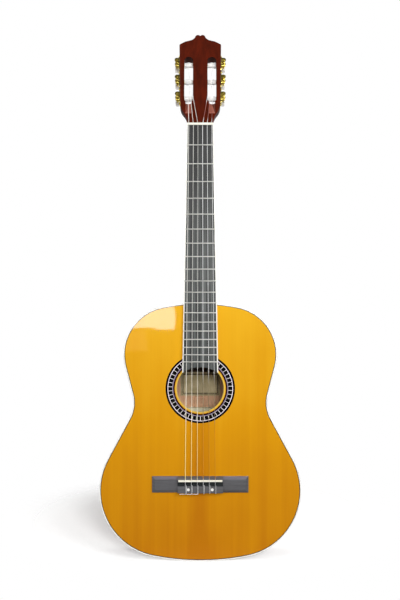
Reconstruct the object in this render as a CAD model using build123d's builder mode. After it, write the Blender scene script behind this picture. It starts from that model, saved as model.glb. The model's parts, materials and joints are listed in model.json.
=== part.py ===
from build123d import *
import os
from math import acos, asin, atan2, cos, degrees, hypot, pi, radians, sin, sqrt, tan

"""A small-bodied classical guitar, built from the pieces a maker glues and screws together.

Frame, in millimetres: X runs to the treble side, +Y from the top into the body, +Z up the neck.
The origin is the lowest point of the tail, on the centre line, in the outer face of the top.
"""

os.makedirs("parts", exist_ok=True)

# ---------------------------------------------------------------------------------------------
# Driving dimensions
# ---------------------------------------------------------------------------------------------
# Strings and frets
scale_length = 648.0
fret_count = 19
body_joint_fret = 12

# Plan of the body, a chain of arcs and two straight flanks
body_length = 473.0
lower_bout_width = 370.0
lower_bout_height = 129.0  # of the widest point above the tail
tail_radius = 440.0
flank_rise = 249.5  # between the bouts' widest points, for the two flanks as given here
lower_flank = 84.0  # straight run from the lower bout to the waist
waist_width = 246.0
upper_flank = 52.0  # straight run from the waist to the upper bout
upper_bout_width = 282.0
upper_bout_drop = 94.5  # of the widest point below the neck end
shoulder_radius = 342.0

# Box of the body
depth_at_tail = 92.0
depth_at_neck = 86.0
back_arch_radius = 3000.0
top_thickness = 2.8
back_thickness = 2.8
rib_thickness = 2.2
binding_width = 2.2
binding_height = 6.0
binding_edge_radius = 0.8
purfling_width = 1.3
purfling_depth = 1.2
lining_width = 7.0
lining_depth = 16.0
tail_block_width = 70.0
tail_block_length = 14.0
neck_block_width = 64.0
neck_block_length = 30.0

# Soundhole and rosette
soundhole_radius = 43.0
rosette_gap = 3.8  # bare wood between the hole and the inlay
rosette_width = 16.8
rosette_depth = 1.2
rosette_outer_line = 3.4
rosette_trim = 2.2  # pale ring between the mosaic and the inner line
rosette_inner_line = 2.6

# Bars under the top and on the back
fan_bar_width = 6.0
fan_bar_depth = 5.0
fan_bar_tip_depth = 1.0
fan_bar_taper_length = 15.0
fan_bar_count = 5
fan_bar_pitch = 50.0
fan_pitch_drop = 98.75  # below the bridge's bolts, where the pitch is taken
fan_spread = 9.0  # degrees between neighbouring bars
fan_tail_gap = 34.0
cross_bar_width = 8.0
cross_bar_depth = 16.0
cross_bar_reach = 17.0  # of each cross bar beyond the edge of the soundhole
back_bar_width = 9.0
back_bar_depth = 14.0
back_bar_from_tail = 112.0
back_bars_from_neck = (206.0, 81.0)  # below the neck end of the body
seam_strip_width = 20.0
seam_strip_thickness = 2.4
label_width = 76.0
label_height = 46.0
label_thickness = 0.4
label_gap = 4.0  # between the label and the seam strip

# Neck
neck_width_at_nut = 48.4
neck_width_at_joint = 60.6
neck_depth_at_nut = 15.0
neck_depth_at_heel = 17.0
neck_back_flat = 3.0
neck_side = 2.0
tenon_width = 20.0
tenon_length = 18.0
heel_cap_thickness = 2.5
heel_width = 30.0
heel_length = 15.5
heel_reach = 62.0  # of the heel's sweep along the neck
heel_profile = (
    # depth as a share of the body's depth, half width and length as shares of their ranges
    (0.08, 0.98, 0.80),
    (0.19, 0.90, 0.42),
    (0.36, 0.45, 0.17),
    (0.62, 0.14, 0.04),
    (1.00, 0.00, 0.00),
)

# Fingerboard
board_thickness = 6.0
board_binding_width = 1.8
board_end_radius = 56.0  # of the hollow that ends the board
board_end_overlap = 3.4  # of board over the soundhole, on the centre line
board_end_margin = 9.6  # of board beyond the last fret, on the centre line
fret_crown_width = 2.0
fret_crown_height = 1.0
fret_tang_width = 0.6
fret_tang_depth = 1.6
fret_end_setback = 0.4

# Nut, bridge and saddle
nut_thickness = 4.2
string_over_first_fret = 0.8
nut_shoulder = 0.4  # of nut above the undersides of the strings
nut_slope = 20.0
nut_spacing = 41.7
bridge_spacing = 54.5
saddle_rise_bass = 13.6  # of the string's underside over the top
saddle_rise_treble = 12.6
saddle_length = 80.0
saddle_thickness = 3.4
saddle_crown_radius = 1.64
saddle_slot_depth = 5.0
bridge_width = 176.0
bridge_length = 29.5
bridge_front = 7.0  # of the bridge ahead of the saddle line
bridge_body_width = 83.0
bridge_height = 9.0
bridge_front_edge = 4.0
bridge_ramp = 3.4
wing_height = 5.0
wing_side_height = 2.2
wing_bevel = 5.4
trough_floor = 3.4
trough_length = 6.4
saddle_land = 3.6  # from the saddle line back to the trough
tie_block_height = 8.4
tie_hole_height = 4.6
tie_hole_clearance = 0.3
bolt_spacing = 43.6
bolt_radius = 2.0
bolt_head_radius = 2.7
bolt_head_height = 2.2
bolt_nut_radius = 4.5
bolt_nut_height = 3.4
bolt_cap_height = 1.4

# Strings, from the bass side to the treble side
string_names = ("string_e_low", "string_a", "string_d", "string_g", "string_b", "string_e_high")
string_diameters = (1.10, 0.92, 0.76, 1.02, 0.82, 0.72)
string_clearance = 0.04
string_bend = 2.0
string_landings = (22.5, 21.5, 24.3)  # from the centre line, on the lowest roller to the highest
landing_gap = 0.12  # between the end of a string and its roller
crown_gap = 0.05  # between the saddle's crown and a string
tail_leg = 0.4  # of each knot clear of the tie block
knot_bend = 0.95
knot_lift = 0.15  # of each knot over the tie block

# Headstock
head_tilt = 15.0
head_face_step = 1.0  # of the head's face in front of the neck's face
head_thickness = 20.0
head_length = 183.0
head_notch_depth = 2.5
head_crest = (
    # half width and drop below the tip: shoulder, end and middle of the scallop, its top
    (28.5, 13.8),
    (19.5, 11.3),
    (13.6, 8.8),
    (9.4, 4.1),
    (5.0, 0.2),
)
head_width_at_slots = 74.4
head_width_at_tip = 78.4
head_flare_length = 42.5
head_corner_height = 163.0
head_corner_radius = 3.0
head_edge_bevel = 0.8
head_scoop_length = 36.0  # of the blend from the neck's round back to the head's flat one
head_scoop_half_width = 44.0
head_scoop_depth = 36.0
head_scoop_flat = 80.0
head_scoop_side = 30.0
slot_width = 16.4
slot_spacing = 43.4  # between the centre lines of the two slots
slot_start = 42.2
slot_end = 136.4
slot_ramp_start = 20.0
slot_ramp_width = 11.0
slot_ramp_angle = 17.0

# Tuning machines: three to a plate, worm above gear
tuner_pitch = 35.0
first_tuner_height = 53.6
tuner_plate_thickness = 1.2
tuner_plate_width = 16.0
tuner_plate_waist = 10.4
tuner_plate_scallop = 9.0  # radius of the hollows in its long edges
tuner_plate_below = 12.5
tuner_plate_above = 18.5
gear_module = 0.8
gear_teeth = 14
gear_thickness = 2.6
gear_stand_off = 2.8  # from the plate to the gear
worm_pitch_radius = 2.4
worm_shaft_radius = 1.5
worm_turns = 4
thread_sink = 0.15  # of the thread's root in the shaft
tooth_thickness = 0.9
tooth_flank_angle = 20.0
tooth_tip_height = 0.64
tooth_root_depth = 0.85
lug_spacing = 14.6
lug_thickness = 1.2
lug_radius = 4.2
running_clearance = 0.06
end_float = 0.3
journal_radius = 3.5
gear_collar_radius = 4.4
core_radius = 2.0
roller_radius = 4.65
core_seat_depth = 6.0
winding_turns = 4
button_gap = 3.2  # of bare shaft behind the head
button_length = 15.0
button_width = 17.0
button_thickness = 8.0
button_corner_radius = 5.5
button_edge_radius = 2.8
button_collar_radius = 3.0
button_collar_length = 2.4
button_seat_depth = 8.0  # of the shaft inside the button
shaft_stub = 0.8  # of shaft in front of the front lug
gear_screw_radius = 2.4
gear_screw_height = 1.5
plate_screw_places = (-9.4, 20.6, 55.6, 86.0)  # along the plate, from the first gear
plate_screw_radius = 1.1
plate_screw_length = 7.0
plate_screw_head_radius = 2.3
plate_screw_head_height = 1.4
plate_screw_head_taper = 30.0

# ---------------------------------------------------------------------------------------------
# Places that follow from them
# ---------------------------------------------------------------------------------------------


def fret_drop(number):
    """Distance from the nut to a fret, in equal temperament."""
    return scale_length * (1 - 2 ** (-number / 12))


nut_height = body_length + fret_drop(body_joint_fret)
nut_back_height = nut_height + nut_thickness
saddle_height = nut_height - scale_length
last_fret_height = nut_height - fret_drop(fret_count)
board_end_height = last_fret_height - board_end_margin
soundhole_height = board_end_height + board_end_overlap - soundhole_radius
board_taper = (neck_width_at_joint - neck_width_at_nut) / fret_drop(body_joint_fret)
board_face = -board_thickness
fret_top = board_face - fret_crown_height
back_slope = degrees(atan2(depth_at_tail - depth_at_neck, body_length))
rosette_inner_radius = soundhole_radius + rosette_gap
rosette_outer_radius = rosette_inner_radius + rosette_width
bridge_top_end = saddle_height + bridge_front
bridge_tail_end = bridge_top_end - bridge_length
tie_front = saddle_height - saddle_land - trough_length
body_overrun = 40.0  # of every cutting tool beyond the body
edge_tolerance = 0.01


def board_half_width(height):
    """Half the width of the neck and fingerboard at a height above the tail."""
    return (neck_width_at_nut + board_taper * (nut_height - height)) / 2


# ---------------------------------------------------------------------------------------------
# Plan of the body
# ---------------------------------------------------------------------------------------------


def bout_radius(width, distance, end_radius):
    """Radius of the arc that is `width` across its widest point and runs into the end arc."""
    return (width**2 / 4 + distance**2 - 2 * end_radius * distance) / (width - 2 * end_radius)


lower_radius = bout_radius(lower_bout_width, lower_bout_height, tail_radius)
upper_radius = bout_radius(upper_bout_width, upper_bout_drop, shoulder_radius)
lower_centre = Vector(lower_bout_width / 2 - lower_radius, lower_bout_height)
upper_centre = Vector(upper_bout_width / 2 - upper_radius, body_length - upper_bout_drop)
tail_centre = Vector(0, tail_radius)
shoulder_centre = Vector(0, body_length - shoulder_radius)


def waist_circle():
    """Centre and radius of the waist arc that both straight flanks run into."""
    lower_half = (lower_bout_width - waist_width) / 2
    upper_half = (upper_bout_width - waist_width) / 2
    rise = upper_centre.Y - lower_centre.Y
    lower_run, upper_run = (flank * rise / flank_rise for flank in (lower_flank, upper_flank))
    lower_term = lower_radius**2 - (lower_radius - lower_half) ** 2 + lower_run**2
    upper_term = upper_radius**2 - (upper_radius - upper_half) ** 2 + upper_run**2
    ratio = upper_half / lower_half
    square, linear = 1 - ratio, -2 * rise
    constant = rise**2 - upper_term + lower_term * ratio
    above_lower = (-linear - sqrt(linear**2 - 4 * square * constant)) / (2 * square)
    radius = (above_lower**2 - lower_term) / (2 * lower_half)
    return Vector(waist_width / 2 + radius, lower_centre.Y + above_lower), radius


waist_centre, waist_radius = waist_circle()


def heading(start, end):
    """Direction from one plan point to another, in degrees."""
    return degrees(atan2(end.Y - start.Y, end.X - start.X))


def flank_angle(bout_centre, bout_arc_radius, side):
    """Direction, from the bout's centre, of the point where its flank leaves it."""
    spread = acos((bout_arc_radius + waist_radius) / (waist_centre - bout_centre).length)
    return heading(bout_centre, waist_centre) + side * degrees(spread)


tail_join = heading(tail_centre, lower_centre)
shoulder_join = heading(shoulder_centre, upper_centre)
lower_flank_angle = flank_angle(lower_centre, lower_radius, -1)
upper_flank_angle = flank_angle(upper_centre, upper_radius, 1)


def body_plan(inset=0.0, depth=0.0):
    """The guitar's plan, set in from its edge, at a depth behind the face of the top."""
    with BuildSketch(Plane.XZ.offset(-depth)) as plan:
        with BuildLine():
            CenterArc(tail_centre, tail_radius - inset, -90, tail_join + 90)
            lower = CenterArc(
                lower_centre, lower_radius - inset, tail_join, lower_flank_angle - tail_join
            )
            waist = CenterArc(
                waist_centre,
                waist_radius + inset,
                lower_flank_angle + 180,
                upper_flank_angle - lower_flank_angle,
            )
            Line(lower @ 1, waist @ 0)
            upper = CenterArc(
                upper_centre,
                upper_radius - inset,
                upper_flank_angle,
                shoulder_join - upper_flank_angle,
            )
            Line(waist @ 1, upper @ 0)
            CenterArc(
                shoulder_centre, shoulder_radius - inset, shoulder_join, 90 - shoulder_join
            )
            mirror(about=Plane.YZ)
        make_face()
    return plan.sketch


def body_slab(inset, front, back):
    """The plan, set in from its edge, as a solid from one depth to another."""
    with BuildPart() as slab:
        extrude(body_plan(inset, front), amount=front - back)
    return slab.part


def before_back(offset=0.0):
    """All the space in front of the arched back's outer face, moved forward by `offset`."""
    arch_plane = Plane(
        origin=(0, depth_at_tail, 0),
        x_dir=(1, 0, 0),
        z_dir=(0, -sin(radians(back_slope)), cos(radians(back_slope))),
    )
    half_width = lower_bout_width / 2 + body_overrun
    half_angle = degrees(asin(half_width / back_arch_radius))
    with BuildPart() as space:
        with BuildSketch(arch_plane.offset(-body_overrun)):
            with BuildLine():
                arc = CenterArc(
                    (0, -back_arch_radius),
                    back_arch_radius - offset,
                    90 - half_angle,
                    2 * half_angle,
                )
                front = -depth_at_tail - body_overrun
                Polyline(arc @ 0, (half_width, front), (-half_width, front), arc @ 1)
            make_face()
        extrude(amount=body_length + 2 * body_overrun)
    return space.part


def block(low, high):
    """A box between two opposite corners."""
    centre = (Vector(*low) + Vector(*high)) / 2
    size = Vector(*high) - Vector(*low)
    with BuildPart() as box:
        with Locations(centre):
            Box(size.X, size.Y, size.Z)
    return box.part


def finish(piece, name):
    """Label a finished piece and write it to its own file."""
    piece.part.label = name
    export_step(piece.part, f"parts/{name}.step")


def finish_group(solids, name):
    """Write a set of like pieces that stay separate solids to one file."""
    group = Compound(label=name, children=[piece.solid() for piece in solids])
    export_step(group, f"parts/{name}.step")


# ---------------------------------------------------------------------------------------------
# Spaces that several pieces share
# ---------------------------------------------------------------------------------------------
behind_body = depth_at_tail + body_overrun
under_back = before_back(back_thickness)
under_back_binding = before_back(binding_height)
inside_ribs = body_slab(rib_thickness, top_thickness, behind_body)
inside_linings = body_slab(rib_thickness + lining_width, top_thickness, behind_body)
binding_channel_front = body_slab(0, -1, binding_height)
binding_channel_front -= body_slab(binding_width, -2, binding_height + 1)
tail_block_space = block(
    (-tail_block_width / 2, top_thickness, -1),
    (tail_block_width / 2, behind_body, rib_thickness + tail_block_length),
)
neck_block_space = block(
    (-neck_block_width / 2, top_thickness, body_length - rib_thickness - neck_block_length),
    (neck_block_width / 2, behind_body, body_length + 1),
)
tenon_space = block(
    (-tenon_width / 2, binding_height, body_length - tenon_length),
    (tenon_width / 2, behind_body, body_length + 1),
)
centre_line_right = block((0, -1, -1), (lower_bout_width, behind_body, body_length + 1))

# ---------------------------------------------------------------------------------------------
# Top, rosette and purfling
# ---------------------------------------------------------------------------------------------
def rosette_ring(outer, inner):
    """A ring of the rosette, sunk into the top."""
    with BuildPart() as ring:
        with BuildSketch(Plane.XZ):
            with Locations((0, soundhole_height)):
                Circle(outer)
                Circle(inner, mode=Mode.SUBTRACT)
        extrude(amount=-rosette_depth)
    return ring.part


trim_inner = rosette_inner_radius + rosette_inner_line
rosette_edges = (
    rosette_outer_radius,
    rosette_outer_radius - rosette_outer_line,
    trim_inner + rosette_trim,
    trim_inner,
    rosette_inner_radius,
)
rosette = [rosette_ring(outer, inner) for outer, inner in zip(rosette_edges, rosette_edges[1:])]
finish_group(rosette, "rosette")

with BuildPart() as purfling_front:
    extrude(body_plan(binding_width), amount=-purfling_depth)
    extrude(body_plan(binding_width + purfling_width), amount=-purfling_depth, mode=Mode.SUBTRACT)
finish(purfling_front, "purfling_front")

bolt_height = (bridge_tail_end + tie_front) / 2
bolt_spots = [Location((side * bolt_spacing / 2, 0, bolt_height)) for side in (-1, 1)]


def post(radius, front, behind):
    """A short round post square to the top, between two depths."""
    with BuildPart() as rod:
        with BuildSketch(Plane.XZ.offset(-front)):
            Circle(radius)
        extrude(amount=front - behind)
    return rod.part


with BuildPart() as soundboard:
    extrude(body_plan(binding_width), amount=-top_thickness)
    with BuildSketch(Plane.XZ):
        with Locations((0, soundhole_height)):
            Circle(soundhole_radius)
    extrude(amount=-top_thickness, mode=Mode.SUBTRACT)
    for spot in bolt_spots:
        add(post(bolt_radius, -1, top_thickness + 1).moved(spot), mode=Mode.SUBTRACT)
    add(rosette_ring(rosette_outer_radius, rosette_inner_radius), mode=Mode.SUBTRACT)
    add(purfling_front.part, mode=Mode.SUBTRACT)
finish(soundboard, "soundboard")

# ---------------------------------------------------------------------------------------------
# Back, ribs, linings and bindings
# ---------------------------------------------------------------------------------------------
with BuildPart() as back:
    add(body_slab(binding_width, 0, behind_body))
    add(before_back(), mode=Mode.INTERSECT)
    add(under_back, mode=Mode.SUBTRACT)
finish(back, "back")

with BuildPart() as rib_treble:
    add(body_slab(0, binding_height, behind_body))
    add(inside_ribs, mode=Mode.SUBTRACT)
    add(under_back_binding, mode=Mode.INTERSECT)
    add(centre_line_right, mode=Mode.INTERSECT)
    add(tenon_space, mode=Mode.SUBTRACT)
finish(rib_treble, "rib_treble")

with BuildPart() as rib_bass:
    add(mirror(rib_treble.part, about=Plane.YZ, mode=Mode.PRIVATE))
finish(rib_bass, "rib_bass")

with BuildPart() as binding_front:
    add(body_slab(0, 0, binding_height))
    add(body_slab(binding_width, 0, binding_height), mode=Mode.SUBTRACT)
    fillet(binding_front.faces().sort_by(Axis.Y)[0].outer_wire().edges(), binding_edge_radius)
finish(binding_front, "binding_front")

with BuildPart() as binding_back:
    add(body_slab(0, 0, behind_body))
    add(body_slab(binding_width, 0, behind_body), mode=Mode.SUBTRACT)
    add(before_back(), mode=Mode.INTERSECT)
    add(under_back_binding, mode=Mode.SUBTRACT)
    fillet(binding_back.faces().sort_by(Axis.Y)[-1].outer_wire().edges(), binding_edge_radius)
finish(binding_back, "binding_back")

with BuildPart() as lining_front:
    add(body_slab(rib_thickness, top_thickness, top_thickness + lining_depth))
    add(inside_linings, mode=Mode.SUBTRACT)
    add(binding_channel_front, mode=Mode.SUBTRACT)
    add(tail_block_space, mode=Mode.SUBTRACT)
    add(neck_block_space, mode=Mode.SUBTRACT)
finish(lining_front, "lining_front")

with BuildPart() as lining_back:
    add(inside_ribs)
    add(inside_linings, mode=Mode.SUBTRACT)
    add(under_back, mode=Mode.INTERSECT)
    add(before_back(back_thickness + lining_depth), mode=Mode.SUBTRACT)
    add(tail_block_space, mode=Mode.SUBTRACT)
    add(neck_block_space, mode=Mode.SUBTRACT)
finish(lining_back, "lining_back")

with BuildPart() as tail_block:
    add(tail_block_space)
    add(inside_ribs, mode=Mode.INTERSECT)
    add(under_back, mode=Mode.INTERSECT)
finish(tail_block, "tail_block")

with BuildPart() as neck_block:
    add(neck_block_space)
    add(inside_ribs, mode=Mode.INTERSECT)
    add(under_back, mode=Mode.INTERSECT)
    add(tenon_space, mode=Mode.SUBTRACT)
finish(neck_block, "neck_block")

# ---------------------------------------------------------------------------------------------
# Bars, seam strip and label
# ---------------------------------------------------------------------------------------------
lower_cross_bar = soundhole_height - soundhole_radius - cross_bar_reach
upper_cross_bar = soundhole_height + soundhole_radius + cross_bar_reach
fan_top = lower_cross_bar - cross_bar_width / 2
fan_length = fan_top - fan_tail_gap
half_span = lower_bout_width / 2
fan_field = block((-half_span, 0, fan_tail_gap), (half_span, depth_at_neck, fan_top))


def fan_bar(place):
    """One slender bar of the fan, aimed at the soundhole and tapered at its tail."""
    with BuildPart() as bar:
        with BuildSketch(Plane.YZ.offset(-fan_bar_width / 2)):
            with BuildLine():
                Polyline(
                    (top_thickness, -body_overrun),
                    (top_thickness, fan_length + body_overrun),
                    (top_thickness + fan_bar_depth, fan_length + body_overrun),
                    (top_thickness + fan_bar_depth, fan_bar_taper_length),
                    (top_thickness + fan_bar_tip_depth, 0),
                    (top_thickness + fan_bar_tip_depth, -body_overrun),
                    close=True,
                )
            make_face()
        extrude(amount=fan_bar_width)
    rise = bolt_height - fan_pitch_drop - fan_tail_gap
    across = place * fan_bar_pitch + rise * tan(radians(place * fan_spread))
    foot = Location((across, 0, fan_tail_gap), (0, -place * fan_spread, 0))
    with BuildPart() as trimmed:
        add(bar.part.moved(foot))
        add(fan_field, mode=Mode.INTERSECT)
    return trimmed.part


def cross_bar(height):
    """A bar across the top that ends on the linings."""
    with BuildPart() as bar:
        add(
            block(
                (-half_span, top_thickness, height - cross_bar_width / 2),
                (half_span, top_thickness + cross_bar_depth, height + cross_bar_width / 2),
            )
        )
        add(inside_linings, mode=Mode.INTERSECT)
    return bar.part


fan_places = [number - (fan_bar_count - 1) / 2 for number in range(fan_bar_count)]
top_braces = [cross_bar(lower_cross_bar), cross_bar(upper_cross_bar)]
top_braces += [fan_bar(place) for place in fan_places]
finish_group(top_braces, "top_braces")


def back_band(low, high, width, thickness):
    """A strip that lies on the inside of the back, `width` across, between two heights."""
    with BuildPart() as band:
        add(block((-width / 2, top_thickness, low), (width / 2, behind_body, high)))
        add(inside_linings, mode=Mode.INTERSECT)
        add(under_back, mode=Mode.INTERSECT)
        add(before_back(back_thickness + thickness), mode=Mode.SUBTRACT)
    return band.part


half_bar = back_bar_width / 2
back_bar_heights = [back_bar_from_tail]
back_bar_heights += [body_length - drop for drop in back_bars_from_neck]
label_low = soundhole_height - label_height / 2
label_high = soundhole_height + label_height / 2
strip_stops = (
    (rib_thickness + tail_block_length, back_bar_heights[0] - half_bar),
    (back_bar_heights[0] + half_bar, back_bar_heights[1] - half_bar),
    (back_bar_heights[1] + half_bar, label_low - label_gap),
    (label_high + label_gap, back_bar_heights[2] - half_bar),
    (back_bar_heights[2] + half_bar, body_length - rib_thickness - neck_block_length),
)
back_braces = [
    back_band(height - half_bar, height + half_bar, lower_bout_width, back_bar_depth)
    for height in back_bar_heights
]
back_braces += [
    back_band(low, high, seam_strip_width, seam_strip_thickness) for low, high in strip_stops
]
finish_group(back_braces, "back_braces")

with BuildPart() as label:
    add(back_band(label_low, label_high, label_width, label_thickness))
finish(label, "label")

# ---------------------------------------------------------------------------------------------
# Neck, heel and heel cap
# ---------------------------------------------------------------------------------------------
def neck_section(height, half_width, depth, front=0.0, flat=neck_back_flat, side=neck_side):
    """Flat front, short upright sides and a half-oval back, across the neck at a height."""
    with BuildSketch(Plane.XY.offset(height)) as section:
        with BuildLine():
            Line((0, front), (half_width, front))
            Line((half_width, front), (half_width, side))
            EllipticalCenterArc(
                (flat / 2, side), half_width - flat / 2, depth - side, start_angle=0, arc_size=90
            )
            Line((flat / 2, depth), (0, depth))
            mirror(about=Plane.YZ)
        make_face()
    return section.sketch


def heel_section(depth, half_width, length):
    """Half an oval that stands out from the end of the body, at a depth behind the top."""
    root = body_length - tenon_length / 2
    with BuildSketch(Plane.XZ.offset(-depth)) as section:
        with BuildLine():
            Line((0, root), (half_width, root))
            Line((half_width, root), (half_width, body_length))
            EllipticalCenterArc(
                (0, body_length), half_width, length, start_angle=0, arc_size=90
            )
            mirror(about=Plane.YZ)
        make_face()
    return section.sketch


heel_cap_face = depth_at_neck - heel_cap_thickness
shaft_bottom = body_length - tenon_length / 2
joint_half_width = board_half_width(body_length)
with BuildPart() as heel:
    loft(
        sections=[
            heel_section(
                depth_share * depth_at_neck,
                heel_width / 2 + width_share * (joint_half_width - heel_width / 2),
                heel_length + length_share * (heel_reach - heel_length),
            )
            for depth_share, width_share, length_share in heel_profile
        ]
    )
    add(body_slab(0, -1, behind_body), mode=Mode.SUBTRACT)
    add(before_back(), mode=Mode.INTERSECT)

with BuildPart() as heel_cap:
    add(heel.part)
    split(bisect_by=Plane.XZ.offset(-heel_cap_face), keep=Keep.BOTTOM)
finish(heel_cap, "heel_cap")

with BuildPart() as neck:
    loft(
        sections=[
            neck_section(shaft_bottom, board_half_width(shaft_bottom), neck_depth_at_heel),
            neck_section(
                nut_back_height, board_half_width(nut_back_height), neck_depth_at_nut
            ),
        ]
    )
    add(body_slab(0, -1, behind_body), mode=Mode.SUBTRACT)
    add(heel.part)
    split(bisect_by=Plane.XZ.offset(-heel_cap_face), keep=Keep.TOP)
    add(
        block(
            (-tenon_width / 2, binding_height, body_length - tenon_length),
            (tenon_width / 2, behind_body, body_length),
        )
        & under_back_binding
    )
finish(neck, "neck")

# ---------------------------------------------------------------------------------------------
# Fingerboard, its edge bindings, frets and nut
# ---------------------------------------------------------------------------------------------
def board_plan(inset):
    """The tapered board from the nut to the soundhole, set in from its long edges."""
    with BuildSketch(Plane.XZ) as plan:
        with BuildLine():
            Polyline(
                (0, nut_height),
                (board_half_width(nut_height) - inset, nut_height),
                (board_half_width(soundhole_height) - inset, soundhole_height),
                (0, soundhole_height),
            )
            mirror(about=Plane.YZ)
        make_face()
        with Locations((0, board_end_height - board_end_radius)):
            Circle(board_end_radius, mode=Mode.SUBTRACT)
    return plan.sketch


fret_heights = [nut_height - fret_drop(number) for number in range(1, fret_count + 1)]
with BuildPart() as fingerboard:
    extrude(board_plan(board_binding_width), amount=board_thickness)
    with BuildSketch(Plane.XZ.offset(board_thickness)):
        for height in fret_heights:
            with Locations((0, height)):
                Rectangle(2 * board_half_width(height), fret_tang_width)
    extrude(amount=-fret_tang_depth, mode=Mode.SUBTRACT)
finish(fingerboard, "fingerboard")

with BuildPart() as fingerboard_binding:
    extrude(board_plan(0), amount=board_thickness)
    extrude(board_plan(board_binding_width), amount=board_thickness, mode=Mode.SUBTRACT)
finish(fingerboard_binding, "fingerboard_binding")


def fret(height):
    """One fret: a domed crown on the board and a tang in its slot."""
    crown_half = board_half_width(height) - fret_end_setback
    tang_half = board_half_width(height + fret_tang_width / 2) - board_binding_width
    with BuildPart() as wire:
        with BuildSketch(Plane.YZ.offset(-crown_half)):
            with BuildLine():
                Line(
                    (board_face, height - fret_crown_width / 2),
                    (board_face, height + fret_crown_width / 2),
                )
                ThreePointArc(
                    (board_face, height - fret_crown_width / 2),
                    (fret_top, height),
                    (board_face, height + fret_crown_width / 2),
                )
            make_face()
        extrude(amount=2 * crown_half)
        with BuildSketch(Plane.XZ.offset(board_thickness)):
            with Locations((0, height)):
                Rectangle(2 * tang_half, fret_tang_width)
        extrude(amount=-fret_tang_depth)
    return wire.part


finish_group([fret(height) for height in fret_heights], "frets")

# ---------------------------------------------------------------------------------------------
# Headstock
# ---------------------------------------------------------------------------------------------
head_plane = Plane(
    origin=(0, -head_face_step, nut_back_height),
    x_dir=(1, 0, 0),
    z_dir=(0, -cos(radians(head_tilt)), sin(radians(head_tilt))),
)
head_base_half = board_half_width(nut_back_height)
head_side_low = Vector(head_width_at_slots / 2, head_flare_length)
head_side_high = Vector(head_width_at_tip / 2, head_corner_height)
head_side_angle = degrees(
    atan2(head_side_high.X - head_side_low.X, head_side_high.Y - head_side_low.Y)
)


def head_point(across, along, deep):
    """A point given across the head, along its face from the nut, and behind that face."""
    return head_plane.from_local_coords(Vector(across, along, -deep))


def head_outline():
    """The face of the head: flared neck, straight sides and a scalloped, notched crest."""
    crest = [(across, head_length - drop) for across, drop in head_crest]
    with BuildSketch(head_plane) as outline:
        with BuildLine():
            Polyline((0, -head_thickness), (head_base_half, -head_thickness), (head_base_half, 0))
            mid_flare = ((head_base_half + head_side_low.X) / 2, head_side_low.Y / 2)
            flare = TangentArc((head_base_half, 0), mid_flare, tangent=(0, 1))
            TangentArc(mid_flare, head_side_low, tangent=flare % 1)
            FilletPolyline(
                head_side_low,
                head_side_high,
                crest[0],
                radius=head_corner_radius,
            )
            Line(crest[0], crest[1])
            ThreePointArc(crest[1], crest[2], crest[3])
            ThreePointArc(crest[3], crest[4], (0, head_length - head_notch_depth))
            mirror(about=Plane.YZ)
        make_face()
    return outline.sketch


def side_half_width(along):
    """Half the width of the head at a distance along its face from the nut."""
    return head_side_low.X + (along - head_side_low.Y) * tan(radians(head_side_angle))


tuner_places = [first_tuner_height + number * tuner_pitch for number in range(3)]
slot_outer = (slot_spacing + slot_width) / 2
ramp_end = slot_start + slot_width / 2

scoop_reach = head_width_at_tip
head_scoop_top = nut_back_height + head_scoop_length
with BuildPart() as head_scoop:
    add(
        block(
            (-scoop_reach, -scoop_reach, nut_back_height),
            (scoop_reach, scoop_reach, head_scoop_top),
        )
    )
    loft(
        sections=[
            neck_section(nut_back_height, head_base_half, neck_depth_at_nut, -scoop_reach),
            neck_section(
                head_scoop_top,
                head_scoop_half_width,
                head_scoop_depth,
                -scoop_reach,
                head_scoop_flat,
                head_scoop_side,
            ),
        ],
        mode=Mode.SUBTRACT,
    )

ramp_plane = Plane(
    origin=head_point(-slot_spacing / 2, 0, 0), x_dir=head_plane.y_dir, z_dir=head_plane.x_dir
)
with BuildPart() as slot_ramp:
    with BuildSketch(ramp_plane):
        with BuildLine():
            Polyline(
                (slot_ramp_start, 0),
                (slot_ramp_start, 1),
                (ramp_end, 1),
                (ramp_end, (slot_ramp_start - ramp_end) * tan(radians(slot_ramp_angle))),
                close=True,
            )
        make_face()
    extrude(amount=slot_ramp_width / 2, both=True)


# Tuning machines are drawn in a frame on the bass side of the head: x up its edge from the first
# roller, y towards the back of the head, z straight out from its side.
tuner_origin = head_point(
    -side_half_width(first_tuner_height), first_tuner_height, head_thickness / 2
)
side_tilt = radians(head_side_angle)
tuner_plane = Plane(
    origin=tuner_origin,
    x_dir=head_plane.from_local_coords(Vector(-sin(side_tilt), cos(side_tilt), 0))
    - head_plane.origin,
    z_dir=head_plane.from_local_coords(Vector(-cos(side_tilt), -sin(side_tilt), 0))
    - head_plane.origin,
)
gear_pitch_radius = gear_module * gear_teeth / 2
worm_offset = gear_pitch_radius + worm_pitch_radius
gear_face = tuner_plate_thickness + gear_stand_off
gear_top = gear_face + gear_thickness
worm_rise = gear_face + gear_thickness / 2


def wall_at(number):
    """Thickness of the head's side wall at a tuner, from its edge to the slot."""
    return (side_half_width(tuner_places[number]) - slot_outer) / cos(side_tilt)


def on_head(part, number=0):
    """Carry a piece drawn at the first tuner to a tuner's place on the bass side."""
    return part.moved(tuner_plane.location * Location((number * tuner_pitch, 0, 0)))


def peg(radius, low, high):
    """A round rod about the tuner's own axis."""
    with BuildPart() as rod:
        with BuildSketch(Plane.XY.offset(low)):
            Circle(radius)
        extrude(amount=high - low)
    return rod.part


with BuildPart() as roller_bores:
    for number in range(3):
        wall = wall_at(number)
        inner = -wall - slot_width - core_seat_depth
        add(on_head(peg(journal_radius + running_clearance, -wall - 1, 1), number))
        add(on_head(peg(core_radius + running_clearance, inner, -wall), number))

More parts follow.
